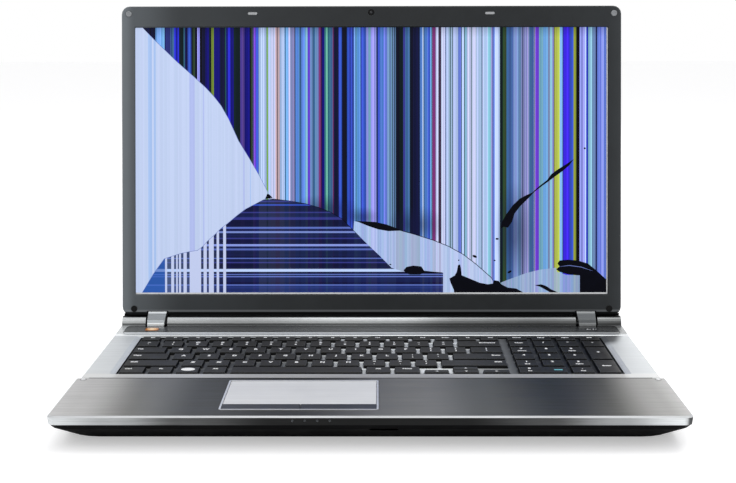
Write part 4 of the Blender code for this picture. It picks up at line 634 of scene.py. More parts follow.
def printed_flat(outline, colour="keyboard"):
    """A flat printed shape on a cap's top."""
    rings = [[(x * MM, FRONT_EDGE + y * MM, KEY_TOP + high * MM) for x, y in outline] for high in (0.005, 0.05)]
    lofted(legends[colour], rings)


def arrow(x, y, turn, size=1.3):
    """A printed arrow head; turn counts quarters from right."""
    cos, sin = ((1, 0), (0, 1), (-1, 0), (0, -1))[turn]
    corners = [(size, 0), (-size * 0.7, size * 0.8), (-size * 0.7, -size * 0.8)]
    printed_flat([(x + cos * a - sin * b, y + sin * a + cos * b) for a, b in corners])


ROWS = [
    [(1.09, "Ctrl"), (1.05, "Fn"), (1.02, ""), (1.03, "Alt"), (5.12, ""), (1.08, "Alt"), (1.12, "Menu")],
    [(2.2, "Shift")] + [(1, c) for c in "ZXCVBNM"] + [(1, "< ,"), (1, "> ."), (1, "? /"), (2.7, "Shift")],
    [(1.7, "Caps")] + [(1, c) for c in "ASDFGHJKL"] + [(1, ": ;"), (1, "\" '"), (2.2, "Enter")],
    [(1.45, "Tab")] + [(1, c) for c in "QWERTYUIOP"] + [(1, "{ ["), (1, "} ]"), (1.45, "| \\")],
    [(1, pair) for pair in ("~ `", "! 1", "@ 2", "# 3", "$ 4", "% 5", "^ 6", "& 7", "* 8", "( 9", ") 0",
                            "_ -", "+ =")] + [(1.9, "Backspace")],
    [(14.9 / 16, word) for word in ["Esc"] + [f"F{i}" for i in range(1, 13)] + ["PrtSc", "Ins", "Del"]],
]
for row, keys in enumerate(ROWS):
    front, rear = row_span(row)
    x = KEYS_LEFT
    for index, (wide, text) in enumerate(keys):
        left, right = x, x + wide * KEY_PITCH - KEY_GAP
        x += wide * KEY_PITCH
        middle, centre = (left + right) / 2, (front + rear) / 2
        if len(text) == 3 and text[1] == " ":
            legend(text[0], middle, centre + 3.4, LETTER * 0.8)
            legend(text[2], middle, centre - 2.6, LETTER * 0.8)
        elif len(text) == 1:
            legend(text, middle, centre + 1.2, LETTER)
        elif row == 5:
            legend(text, middle + 1, rear - 2.9, SMALL)
        elif text:
            half = len(text) * WORD * 0.27
            last = index == len(keys) - 1
            place = right - 1.8 - half if last and row else left + 1.8 + half if index == 0 else middle
            legend(text, place, centre + 2.2, WORD)
    if row == 0:
        arrow_middle = (front + rear) / 2
        for width, turn in ((1.10, 2), (1.12, 3), (1.17, 0)):
            place = x + (width * KEY_PITCH - KEY_GAP) / 2
            arrow(place, front + 3.4, turn)
            if turn == 3:
                arrow(place, arrow_middle + 4.1, 1)
            x += width * KEY_PITCH

# The plain disc on the third key, and the number pad's digits with their small captions
disc_x = KEYS_LEFT + (1.09 + 1.05 + 0.51) * KEY_PITCH - KEY_GAP / 2
disc_y = sum(row_span(0)) / 2 + 0.6
printed_flat([(disc_x + 5 * math.cos(i * math.pi / 14), disc_y + 4 * math.sin(i * math.pi / 14))
              for i in range(28)])
PAD = {(0, 1): ("1", "End"), (1, 1): ("2", ""), (2, 1): ("3", "PgDn"), (0, 2): ("4", ""), (1, 2): ("5", ""),
       (2, 2): ("6", ""), (0, 3): ("7", "Home"), (1, 3): ("8", ""), (2, 3): ("9", "PgUp"), (1, 4): ("/", ""),
       (2, 4): ("*", ""), (3, 4): ("-", ""), (2, 0): (".", "Del")}
for (column, row), (digit, caption) in PAD.items():
    middle = PAD_START + (column + 0.5) * KEY_PITCH - KEY_GAP / 2
    centre = sum(row_span(row)) / 2
    legend(digit, middle, centre + 3.0, LETTER * 0.9)
    if caption:
        legend(caption, middle, centre - 3.6, SMALL)
zero = (PAD_START, PAD_START + 2 * KEY_PITCH - KEY_GAP)
legend("0", zero[0] + 7.9, sum(row_span(0)) / 2 + 3, LETTER * 0.9)
legend("Ins", zero[0] + 7.9, sum(row_span(0)) / 2 - 3.6, SMALL)
legend("Num", PAD_START + 7.9, sum(row_span(4)) / 2 + 2, WORD)
for column, word in enumerate(("Home", "PgUp", "PgDn", "End")):
    legend(word, PAD_START + (column + 0.5) * KEY_PITCH - 1.5, row_span(5)[1] - 2.9, SMALL)
legend("+", PAD_START + 3.5 * KEY_PITCH - 1.5, (row_span(2)[0] + row_span(3)[1]) / 2 + 2, LETTER)
legend("Enter", PAD_START + 3.5 * KEY_PITCH - 1.5, (row_span(0)[0] + row_span(1)[1]) / 2 + 1, WORD)
printed_flat([(zero[1] - 9.5, disc_y - 2.6), (zero[1] - 3.5, disc_y - 2.6), (zero[1] - 3.5, disc_y),
              (zero[1] - 9.5, disc_y)], "teal")
build("key_legends", legends["keyboard"], print_white, "base")
build("key_mark", legends["teal"], print_teal, "base")


# The hinge cover: one drawn and brushed cover, bent into a lip in front, a flat strip and a round bar over the hinges.
# Its light and dark bands along x are painted reflections, and the bar's lower faces and rear half are painted dark as
# shade.
cover_metal, tree, shader = finish("cover_metal", measured(176, 178, 180), 0.26, metallic=0.5, specular=0.2)
# Painted reflection: light and dark bands along x on the bar and the lip.
bar_reflection_bands = across(tree, -HALF_BASE, HALF_BASE, (-205, 212), (-170, 202), (-100, 176), (-20, 208), (20, 208), (70, 146),
                   (130, 130), (180, 154), (205, 134))
lip_reflection_bands = across(tree, -HALF_BASE, HALF_BASE, (-205, 250), (-150, 248), (0, 236), (120, 220), (180, 232),
                   (205, 200))
depth_y = node(tree, "ShaderNodeSeparateXYZ", tree.nodes.new("ShaderNodeTexCoord").outputs["Object"])
depth_y = depth_y.node.outputs["Y"]
on_lip = node(tree, "ShaderNodeMapRange", depth_y, FRONT_EDGE + 226.4 * MM, FRONT_EDGE + 226.0 * MM, 0, 1)
slope = tree.nodes.new("ShaderNodeSeparateXYZ")
tree.links.new(tree.nodes.new("ShaderNodeNewGeometry").outputs["Normal"], slope.inputs[0])
# Painted shade: the bar darker on its faces that turn down.
bar_shade = shades(tree, slope.outputs["Z"], (0.0, 0.1), (0.35, 0.3), (0.62, 0.7), (0.85, 1.0))
bar_tone = node(tree, "ShaderNodeMixRGB", 1.0, bar_reflection_bands, bar_shade, blend_type="MULTIPLY")
# Painted shade: the bar's rear half painted near black.
painted_back_shade = node(tree, "ShaderNodeMapRange", depth_y, FRONT_EDGE + 258.0 * MM, FRONT_EDGE + 258.8 * MM, 0, 1)
bar_tone = node(tree, "ShaderNodeMixRGB", painted_back_shade, bar_tone, measured(10, 10, 11))
brushed(tree, shader, node(tree, "ShaderNodeMixRGB", on_lip, bar_tone, lip_reflection_bands), 0.24, streak=0.09)
dress(cover_metal, "hinge_cover")


# The strip between the lip and the bar: a dark glossy inlay with rounded ends, left bare, faintly smeared by fingers.
# Its bands of light and dark along x are painted reflections, and its front edge carries a painted highlight.
strip_gloss, tree, shader = finish("strip_gloss", measured(52, 56, 60), 0.24, specular=0.2)
# Painted reflection: light and dark bands along x.
strip_reflection_bands = across(tree, -HALF_BASE, HALF_BASE, (-205, 88), (-160, 72), (-90, 60), (-30, 82), (10, 84), (70, 58), (120, 48), (205, 40))
smear_and_painted_shade = cloudy(tree, 18 * MM, detail=5, stretch=(0.4, 1, 1))
tree.links.new(node(tree, "ShaderNodeMixRGB", node(tree, "ShaderNodeMath", smear_and_painted_shade, 0.2, operation="MULTIPLY"),
                    strip_reflection_bands, measured(104, 108, 112)), shader.inputs["Base Color"])
# Painted highlight: the strip's front edge lighter.
front_edge_mask = node(tree, "ShaderNodeSeparateXYZ", tree.nodes.new("ShaderNodeTexCoord").outputs["Object"]).node
front_edge_mask = node(tree, "ShaderNodeMath", front_edge_mask.outputs["Y"], FRONT_EDGE + 231.6 * MM, operation="LESS_THAN")
strip_tone = shader.inputs["Base Color"].links[0].from_socket
front_edge_highlight = across(tree, -HALF_BASE, HALF_BASE, (-205, 228), (0, 214), (120, 176), (205, 160))
tree.links.new(node(tree, "ShaderNodeMixRGB", front_edge_mask, strip_tone, front_edge_highlight), shader.inputs["Base Color"])
varied(tree, shader, 0.18, 0.34, smear_and_painted_shade)
raised(tree, shader, cloudy(tree, 6 * MM), 0.01 * MM)
dress(strip_gloss, "strip_inlay")


# The power button: a clear cap lit orange from below, white where the lamp shines through.
lit_orange, tree, shader = finish("lit_orange", measured(236, 160, 72), 0.3)
low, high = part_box("power_button")
middle = (low + high) / 2
from_middle = node(tree, "ShaderNodeMapping", tree.nodes.new("ShaderNodeTexCoord").outputs["Object"],
                   Location=(-middle.x / (5.6 * MM), -middle.y / (4.6 * MM), 0), Scale=(1 / (5.6 * MM), 1 / (4.6 * MM), 0))
away = tree.nodes.new("ShaderNodeVectorMath")
away.operation = "LENGTH"
tree.links.new(from_middle, away.inputs[0])
glow = shades(tree, away.outputs["Value"], (0.0, measured(250, 236, 208)), (0.45, measured(236, 196, 132)),
              (0.8, measured(212, 132, 50)), (1.0, measured(132, 72, 26)))
tree.links.new(glow, shader.inputs["Base Color"])
tree.links.new(glow, shader.inputs["Emission Color"])
shader.inputs["Emission Strength"].default_value = 0.24
shader.inputs["Coat Weight"].default_value = 0.4
raised(tree, shader, cloudy(tree, 0.5 * MM), 0.01 * MM)
dress(lit_orange, "power_button")


# The window over the status marks: a dark lens with three small marks printed white beside it.
window_dark, tree, shader = finish("window_dark", measured(20, 21, 24), 0.14, specular=0.25)
tree.links.new(node(tree, "ShaderNodeMixRGB", cloudy(tree, 3 * MM), measured(22, 24, 27), measured(38, 40, 44)),
               shader.inputs["Base Color"])
varied(tree, shader, 0.08, 0.18, cloudy(tree, 5 * MM))
dress(window_dark, "indicator_window")
low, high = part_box("indicator_window")
marks = bmesh.new()
for i, wide in enumerate((1.5, 0.8, 1.2, 0.6)):
    left = low.x + (1.1 + 2.4 * i) * MM
    for step, bottom in enumerate((0.8, 2.5)):
        start = left + step * 0.4 * MM
        brick(marks, start, start + (wide - 0.3 * step) * MM, low.y + bottom * MM, low.y + (bottom + 0.7) * MM,
              high.z - 0.02 * MM, high.z + 0.05 * MM)
build("status_marks", marks, print_white, "base")


# The lid: a dark satin cover with a brushed back, and over it a charcoal bezel moulded in one, which
# clips on round the display. A black skirt closes the cover's foot and curls round behind the hinges.
# The bezel's bands of light and dark along x are painted reflections, and its foot carries a painted highlight line
# over a strip of painted shade.
AXIS = Vector((0, FRONT_EDGE + 261.0 * MM, 24.5 * MM))
LID = Matrix.Translation(AXIS) @ Matrix.Rotation(math.radians(81.07), 4, "X")
lid_metal, tree, shader = finish("lid_metal", measured(62, 64, 66), 0.4, metallic=0.4, specular=0.2)
lid_tone = node(tree, "ShaderNodeMixRGB", cloudy(tree, 60 * MM), measured(54, 56, 58), measured(68, 70, 72))
worn_rim = node(tree, "ShaderNodeMath", rubbed_edge(tree, 0.5 * MM), 0.5, operation="MULTIPLY")
brushed(tree, shader, node(tree, "ShaderNodeMixRGB", worn_rim, lid_tone, measured(128, 130, 132)), 0.38, streak=0.1)
dress(lid_metal, "lid_cover")

bezel_char, tree, shader = finish("bezel_char", measured(50, 52, 54), 0.46, specular=0.12)
# Painted reflection: light and dark bands along x, lightest at the left edge.
bezel_reflection_bands = across(tree, -HALF_BASE, HALF_BASE, (-205, 128), (-200, 116), (-192, 90), (-150, 58), (-60, 44), (0, 38),
                     (120, 38), (190, 46), (205, 58), tint=(0.95, 1.0, 1.04))
mottled = node(tree, "ShaderNodeMixRGB", node(tree, "ShaderNodeMath", cloudy(tree, 12 * MM), 0.12,
                                               operation="MULTIPLY"), bezel_reflection_bands, measured(84, 90, 94))
bright_rim = node(tree, "ShaderNodeMath", rubbed_edge(tree, 0.4 * MM), 0.4, operation="MULTIPLY")
toned = node(tree, "ShaderNodeMixRGB", bright_rim, mottled, measured(120, 122, 125))
up_lid = tree.nodes.new("ShaderNodeVectorMath")
up_lid.operation = "DOT_PRODUCT"
tree.links.new(tree.nodes.new("ShaderNodeTexCoord").outputs["Object"], up_lid.inputs[0])
up_lid.inputs[1].default_value = LID.to_3x3() @ Vector((0, 1, 0))
foot_of_lid = AXIS.dot(LID.to_3x3() @ Vector((0, 1, 0)))
rise = node(tree, "ShaderNodeMapRange", up_lid.outputs["Value"], foot_of_lid + 7 * MM, foot_of_lid + 17 * MM, 0, 1)
# Painted highlight: a light line across the bezel a little above its foot.
painted_bevel_highlight = shades(tree, rise, (0.0, 0.0), (0.22, 0.0), (0.3, 0.2), (0.38, 0.2), (0.46, 0.0))
toned = node(tree, "ShaderNodeMixRGB", painted_bevel_highlight, toned, measured(176, 180, 184))
# Painted shade: the bezel's lowest strip painted near black.
in_shade = shades(tree, rise, (0.0, 0.9), (0.22, 0.9), (0.28, 0.0))
toned = node(tree, "ShaderNodeMixRGB", in_shade, toned, measured(5, 5, 6))
for side in (-1, 1):
    bumper = LID @ Vector((side * 192.9 * MM, 12.1 * MM, 0.2 * MM))
    toned = node(tree, "ShaderNodeMixRGB", near(tree, bumper, 2.7 * MM), toned, measured(9, 9, 10))
tree.links.new(toned, shader.inputs["Base Color"])
varied(tree, shader, 0.38, 0.54, cloudy(tree, 24 * MM, detail=5))
raised(tree, shader, cloudy(tree, 0.4 * MM, detail=2), 0.01 * MM)
dress(bezel_char, "screen_bezel")
skirt_black = moulded("skirt_black", measured(8, 8, 9), measured(36, 37, 39), roughness=0.55, specular=0.06)
GUARD_TURNS = [math.radians(angle) for angle in range(-126, -60, 13)]
SKIRT_FORM = [(2.6, -8.3), (2.6, -7.3), (8.2, -7.3), (8.2, -8.4)]
GUARD_FORM = [(radius * math.cos(turn), radius * math.sin(turn)) for radius, turns in
              ((8.0, GUARD_TURNS), (7.0, GUARD_TURNS[::-1])) for turn in turns]
skirt = bmesh.new()
for side in (-1, 1):
    for form, ends in ((SKIRT_FORM, (163.6, 164.6, 201, 202)), (GUARD_FORM, (165.3, 166, 181.6, 182.3))):
        lofted(skirt, [[(side * x * MM, y * MM, z * MM) for y, z in form] for x in ends])
build("lid_skirt", skirt, skirt_black, "lid", LID)


# Small things in the bezel: two ringed rubber screw caps at the top, two silver ovals beside the
# camera, and the camera's black lens with a turned ring in it.
cap_rubber = moulded("cap_rubber", measured(134, 137, 140), measured(206, 208, 210), roughness=0.6, grain=0.3 * MM,
                     depth=0.01 * MM, edge=0.25 * MM)
dress(cap_rubber, "lid_bumper_left", "lid_bumper_right")
oval_silver, tree, shader = finish("oval_silver", measured(176, 178, 180), 0.36, metallic=0.3, specular=0.2)
brushed(tree, shader, node(tree, "ShaderNodeMixRGB", cloudy(tree, 2 * MM), measured(138, 140, 143),
                           measured(164, 166, 168)), 0.36, grain=0.1 * MM)
dress(oval_silver, "mic_inlay_left", "mic_inlay_right")
camera_black, tree, shader = finish("camera_black", measured(6, 6, 7), 0.3, specular=0.1)
tree.links.new(node(tree, "ShaderNodeMixRGB", cloudy(tree, 2 * MM), measured(4, 4, 5), measured(12, 12, 14)),
               shader.inputs["Base Color"])
raised(tree, shader, cloudy(tree, 0.4 * MM), 0.01 * MM)
dress(camera_black, "webcam")
low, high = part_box("webcam")
CAMERA = LID.inverted() @ ((low + high) / 2)
camera_ring = bmesh.new()
rows = lofted(camera_ring, [ring(radius * MM, CAMERA.x, CAMERA.y, level * MM, 20) for radius, level in
                            ((1.0, -0.9), (1.15, -0.7), (1.15, -0.62), (0.6, -0.55), (0.5, -0.75))],
              closed_start=True, closed_end=True)
build("camera_iris", camera_ring, window_dark, "lid", LID)


# The broken display: a satin panel behind thin glass, lit from within. Its cracks run out from the
# blow at the left; each field between them shows stripes of its own, and black ink has bled out.
# The light strips along its bottom and right edges are a painted highlight.
PANEL_MIDDLE = 132.19
PANEL_HALF = (193.55, 110.05)
GLASS_FRONT = -2.3
GLASS_THICK = 1.3
LOWER_BREAK = [(-87.6, -31.3), (-102.4, -39.1), (-109.2, -44.2), (-117.3, -51.0), (-122.0, -54.4),
               (-128.1, -60.5), (-132.8, -64.5), (-137.5, -69.7), (-141.6, -72.7), (-148.4, -73.7),
               (-155.1, -75.1), (-168.6, -79.4), (-177.4, -91.6), (-186.8, -107.2)]
UPPER_BREAK = [(-191.7, 115.9), (-185.7, 108.2), (-176.2, 98.4), (-157.8, 80.5), (-144.2, 68.5), (-134.8, 59.8),
               (-128.4, 53.0), (-122.3, 45.3), (-115.9, 34.0), (-108.1, 16.7), (-99.2, 2.1), (-90.4, -13.1),
               (-84.4, -24.9), (-84.2, -27.3)]
ARCH = [(-79.5, -30.9), (-67.3, -32.3), (-53.8, -34.7), (-43.0, -37.7), (-33.5, -41.5), (-24.1, -46.9),
        (-14.6, -56.4), (-6.5, -64.5), (7.0, -77.4), (16.4, -86.9), (26.6, -90.3), (42.1, -90.7), (58.3, -90.9)]
SWEEP = [(-9.2, -49.9), (4.3, -52.3), (20.5, -55.7), (35.3, -59.8), (50.2, -64.5), (62.3, -69.3), (74.5, -76.0),
         (85.3, -84.2), (97.5, -95.0), (98.8, -97.7)]


def hairline(points, wide):
    """A thin strip along a crack, narrowing to its ends."""
    sides = ([], [])
    for i, point in enumerate(points):
        before, after = Vector(points[max(i - 1, 0)]), Vector(points[min(i + 1, len(points) - 1)])
        along = (after - before).normalized()
        half = wide / 2 * (0.2 if i in (0, len(points) - 1) else 1)
        sides[0].append((point[0] - along.y * half, point[1] + along.x * half))
        sides[1].append((point[0] + along.y * half, point[1] - along.x * half))
    return sides[0] + sides[1][::-1]


def speck(x, y, wide, tall, lean=0.0):
    turns = [2 * math.pi * i / 10 for i in range(10)]
    return [(x + wide * math.cos(t) * math.cos(lean) - tall * math.sin(t) * math.sin(lean),
             y + wide * math.cos(t) * math.sin(lean) + tall * math.sin(t) * math.cos(lean)) for t in turns]


PANEL_X, PANEL_Y = PANEL_HALF
FIELDS = [
    ("upper_stripes", [(-PANEL_X, -PANEL_Y), (PANEL_X, -PANEL_Y), (PANEL_X, PANEL_Y), (-PANEL_X, PANEL_Y)]),
    ("pale_left", UPPER_BREAK + LOWER_BREAK + [(-195.6, -123), (-204, -123), (-204, 122)]),
    ("dark_rows", LOWER_BREAK[::-1] + ARCH + [(58.3, -123), (-195.6, -123)]),
    ("blue_wedge", [(-168.0, -79.3), (-168.0, -123), (-195.6, -123), (-186.8, -107.2), (-177.4, -91.6),
                    (-168.6, -79.4)]),
    ("pale_middle", [(-14.0, -49.0)] + ARCH[6:] + [(58.3, -123), (99.8, -123)] + SWEEP[::-1]),
    ("pale_right", [(104.9, -99.1), (113.7, -95.7), (125.8, -91.3), (136.6, -88.6), (150.1, -86.9),
                    (150.8, -90.3), (158.2, -92.7), (169.3, -93.2), (169.3, -123), (104.5, -123)]),
    ("pale_hair", hairline(UPPER_BREAK[1:], 0.35)),
    ("pale_hair", hairline(LOWER_BREAK, 0.35)),
    ("ink", hairline([(-86.0, -30.2)] + ARCH[:8], 0.4)),
    ("ink", hairline(SWEEP[1:], 0.55)),
    ("ink", [(-13.3, -48.5), (-9.2, -49.0), (2.9, -49.6), (12.4, -51.7), (21.2, -55.0), (23.9, -56.7),
             (13.7, -57.1), (5.6, -55.7), (-2.5, -53.0)]),
    ("ink", [(26.1, -88.9), (28.6, -86.2), (34.0, -85.1), (40.7, -85.9), (42.8, -89.3), (50.2, -90.1),
             (57.6, -90.7), (57.6, -91.2), (42.8, -91.2), (39.4, -92.4), (31.3, -92.4), (27.5, -91.1)]),
    ("ink", [(63.4, -95.7), (67.7, -93.2), (69.4, -90.3), (70.4, -84.8), (72.1, -84.2), (72.9, -87.6),
             (73.4, -93.0), (79.9, -95.7), (88.0, -99.1), (94.8, -100.4), (98.8, -99.7), (99.5, -97.0),
             (103.5, -97.7), (105.6, -100.4), (111.0, -103.1), (117.7, -103.8), (123.8, -107.2),
             (125.3, -123), (67.7, -123), (67.1, -105.2), (64.4, -99.1)]),
    ("ink", [(132.6, -101.1), (138.0, -100.4), (142.0, -101.8), (146.1, -104.5), (152.2, -107.3),
             (146.8, -107.7), (142.0, -105.2), (137.3, -102.5)]),
    ("ink", [(151.2, -83.5), (152.8, -81.1), (159.6, -80.4), (167.7, -81.1), (175.8, -83.5), (182.5, -88.9),
             (190.7, -96.4), (198, -105.2), (198, -123), (169.3, -123), (169.3, -93.2), (159.6, -92.3),
             (152.8, -90.3), (150.1, -88.2), (152.8, -85.9)]),
    ("ink", [(104.9, -55.0), (106.2, -49.6), (109.6, -43.5), (115.0, -36.1), (120.4, -30.9), (125.8, -28.0),
             (130.6, -25.9), (136.6, -20.5), (142.7, -15.8), (146.1, -11.0), (151.5, -7.0), (158.2, -2.9),
             (164.3, 1.2), (166.3, 3.9), (160.9, -3.6), (155.5, -8.3), (148.8, -13.1), (144.1, -16.7),
             (138.7, -20.5), (132.6, -25.2), (127.2, -30.9), (121.1, -36.8), (116.4, -42.9), (114.3, -49.6),
             (111.0, -54.4), (107.6, -53.7)]),
    ("ink", [(-84.6, -26.6), (-83.0, -27.2), (-80.2, -29.9), (-86.4, -31.0)]),
    ("ink", speck(173.3, 10.0, 0.8, 0.8)), ("ink", speck(102.2, -63.5, 1.3, 0.8)),
    ("ink", speck(84.0, -77.7, 2.0, 1.0, -0.4)), ("ink", speck(100.2, -81.0, 0.8, 0.6)),
    ("ink", speck(112.3, -90.3, 1.9, 0.9, 0.5)), ("ink", speck(71.0, -80.8, 0.6, 0.6)),
    ("ink", speck(15.4, -84.2, 0.9, 0.5)),
    ("pale_hair", hairline([(152.3, -86.1), (160.9, -85.1), (170.4, -86.4), (179.8, -89.6)], 0.5)),
    # Painted highlight: light strips along the panel's bottom and right edges.
    ("painted_edge_gleam", [(-PANEL_X, -108.5), (PANEL_X, -108.5), (PANEL_X, -107.0), (-PANEL_X, -107.0)]),
    ("painted_edge_gleam", [(190.9, -108.0), (192.0, -108.0), (192.0, 108.4), (190.9, 108.4)]),
]
FIELD_KINDS = ["upper_stripes", "pale_left", "dark_rows", "blue_wedge", "pale_middle", "pale_right", "pale_hair",
               "ink", "painted_edge_gleam", "panel_edge"]
corners, outlines = [], []
for kind, points in FIELDS:
    turn = sum(Vector(a).cross(Vector(b)) for a, b in zip(points, points[1:] + points[:1]))
    outlines.append(list(range(len(corners), len(corners) + len(points))))
    corners += [Vector(point) for point in (points if turn > 0 else points[::-1])]
flat, _, triangles, _, _, owners = delaunay_2d_cdt(corners, [], outlines, 1, 1e-4, True)
panel = bmesh.new()
spots = [panel.verts.new((x * MM, (PANEL_MIDDLE + y) * MM, GLASS_FRONT * MM)) for x, y in flat]
sunk = []
for corner_ids, inside in zip(triangles, owners):
    if 0 not in inside:
        continue
    face = panel.faces.new([spots[i] for i in corner_ids])
    face.material_index = FIELD_KINDS.index(FIELDS[max(inside)][0])
    if FIELDS[max(inside)][0] == "ink":
        sunk.append(face)
bmesh.ops.delete(panel, geom=[v for v in panel.verts if not v.link_faces], context="VERTS")
moved = bmesh.ops.extrude_face_region(panel, geom=sunk)["geom"]
bmesh.ops.translate(panel, vec=(0, 0, -0.15 * MM), verts=[v for v in moved if isinstance(v, bmesh.types.BMVert)])
bmesh.ops.delete(panel, geom=[face for face in sunk if face.is_valid], context="FACES_ONLY")
rim = [edge for edge in panel.edges if edge.is_boundary]
skirt = bmesh.ops.extrude_edge_only(panel, edges=rim)["geom"]
low_verts = [v for v in skirt if isinstance(v, bmesh.types.BMVert)]
bmesh.ops.translate(panel, vec=(0, 0, -GLASS_THICK * MM), verts=low_verts)
made = bmesh.ops.holes_fill(panel, edges=[edge for edge in panel.edges if edge.is_boundary])["faces"]
for face in made + [f for f in skirt if isinstance(f, bmesh.types.BMFace)]:
    face.material_index = FIELD_KINDS.index("panel_edge")

PAINTS = {
    "black": (5, 5, 14), "ink": (8, 10, 34), "night": (14, 18, 60), "navy": (22, 28, 92),
    "well": (20, 29, 76), "cellar": (34, 50, 112), "line": (96, 116, 198), "gleam": (134, 152, 226),
    "pale": (198, 213, 246), "azure": (170, 198, 244), "mist": (180, 193, 242), "deep": (16, 14, 118), "royal": (42, 48, 214), "blue": (54, 84, 202), "mid": (90, 140, 224),
    "sky": (122, 178, 240), "powder": (184, 206, 248), "haze": (196, 202, 240), "lavender": (156, 160, 248),
    "periwinkle": (112, 130, 230), "dusk": (138, 142, 196), "plum": (86, 62, 152), "violet": (112, 64, 216),
    "lilac": (152, 118, 232), "wine": (112, 48, 108), "rose": (202, 174, 182), "steel": (66, 104, 160),
    "slate": (112, 144, 194), "aqua": (132, 186, 210), "teal": (46, 106, 118), "mint": (128, 206, 188),
    "moss": (42, 66, 42), "pine": (8, 26, 30), "olive": (134, 148, 56), "acid": (178, 192, 78),
    "lime": (112, 160, 64), "ultramarine": (60, 42, 230), "indigo": (50, 54, 132),
}
UPPER_STRIPES = """
-193 night, -175.4 sky, -167.9 indigo, -163.2 steel, -160.2 royal, -156.5 pine, -152.7 teal, -151.9 navy,
-149 blue, -146.3 ink, -145.2 moss, -143.6 ink, -141.6 lavender, -139.6 ink, -137.5 night, -135.1 deep,
-132.1 pine, -130.1 olive, -128.1 deep, -123 night, -119.3 teal, -118 deep, -116.6 royal, -114.6 deep,
-111.9 pine, -106.5 plum, -103.1 deep, -99.1 black, -97.7 moss, -96.4 lilac, -95 violet, -93.8 blue,
-91.6 powder, -85.5 lime, -84.2 powder, -82 haze, -78.1 rose, -74.7 powder, -70.7 sky, -67.3 haze,
-66 dusk, -61.9 mid, -59.2 steel, -57.5 mid, -53.8 aqua, -51.8 violet, -49.8 slate, -47.7 steel,
-45.7 slate, -43 wine, -40.3 deep, -38.3 teal, -36.9 mint, -35.6 teal, -33.5 steel, -31.5 wine,
-30.6 night, -26.8 blue, -24.1 ink, -20 blue, -14 sky, -11.3 mid, -8.6 blue, -4.5 lavender,
-2.5 aqua, -0.5 lavender, 4.3 blue, 7 mid, 9.7 periwinkle, 12.4 slate, 19.8 ink, 22.5 pine,
25.9 indigo, 27.5 steel, 31.3 ink, 34 night, 39.4 mid, 41.4 powder, 42.8 mid, 46.1 blue,
47.5 sky, 49.5 wine, 52.2 haze, 54.9 wine, 56.3 haze, 59.6 powder, 70.4 periwinkle, 73.1 powder,
75.6 aqua, 77.2 haze, 85.3 powder, 94.1 aqua, 96.8 dusk, 98.1 periwinkle, 100.2 powder, 104.2 pine,
106.5 moss, 109.6 steel, 115 slate, 121 dusk, 127.8 steel, 131.9 haze, 132.8 violet, 136 aqua,
139.3 sky, 143.4 dusk, 144.8 aqua, 146.8 dusk, 148.1 acid, 152.8 sky, 155.5 ultramarine, 160.9 blue,
163.9 olive, 166.3 black, 169 lavender, 173.4 powder, 174.4 royal, 175.8 aqua, 179.2 slate, 181.9 night,
183.2 periwinkle, 186.6 lavender, 188.4 periwinkle, 190.7 night"""
DARK_ROWS = """
-110 cellar, -101.7 line, -100.6 night, -98.5 well, -94.8 line, -93.8 well, -93.0 line, -92.0 night,
-90.4 powder, -87.8 night, -83.4 indigo, -82.4 well, -79.8 line, -78.9 night, -77.5 well, -72.6 line,
-71.4 well, -69.6 gleam, -67.8 night, -63.6 indigo, -62.4 well, -58.6 gleam, -57.2 well, -55.2 line,
-53.8 night, -48 indigo, -45.8 well, -42.6 indigo, -41.6 night, -36.6 blue, -35.2 well, -33.4 indigo,
-32.2 well"""
LEFT_STRIPES = """
-194 pale, -181.5 azure, -178.6 pale, -177 azure, -175.5 pale, -148 mist, -143.8 pale, -137 mist, -136 pale,
-104.5 mist, -103.2 pale, -99 azure, -98 pale"""
LATTICE = """
-166.6 gap, -163.2 bar, -160.8 gap, -159.2 bar, -157.8 gap, -156.7 bar, -155.1 gap, -153.1 bar,
-150.4 gap, -148.1 bar, -138.9 gap, -136.9 bar, -134.2 gap, -132.4 bar, -128.5 gap, -126.1 bar,
-124 gap, -120.7 bar, -118.6 gap"""
MOST_STOPS = 30


def pairs(text):
    return [(float(start), word) for start, word in (item.split() for item in text.split(","))]


def striped(tree, where, bands):
    """The colour of the band that a place falls in; bands are (start, colour), each up to the next."""
    colour = None
    for first in range(0, len(bands), MOST_STOPS):
        part = bands[first:first + MOST_STOPS]
        start = part[0][0]
        end = bands[first + MOST_STOPS][0] if first + MOST_STOPS < len(bands) else part[-1][0] + 4
        spot = node(tree, "ShaderNodeMapRange", where, start, end, 0, 1)
        ramp = shades(tree, spot, *[((at - start) / (end - start), shade) for at, shade in part],
                      easing="CONSTANT")
        if colour is None:
            colour = ramp
        else:
            past = node(tree, "ShaderNodeMath", where, start, operation="GREATER_THAN")
            colour = node(tree, "ShaderNodeMixRGB", past, colour, ramp)
    return colour


def panel_places(tree):
    """x and y on the panel from its middle, in millimetres."""
    where = node(tree, "ShaderNodeMapping", tree.nodes.new("ShaderNodeTexCoord").outputs["Object"],
                 Location=(0, -PANEL_MIDDLE, 0), Scale=(1000, 1000, 1000))
    parts = node(tree, "ShaderNodeSeparateXYZ", where).node.outputs
    return parts["X"], parts["Y"]


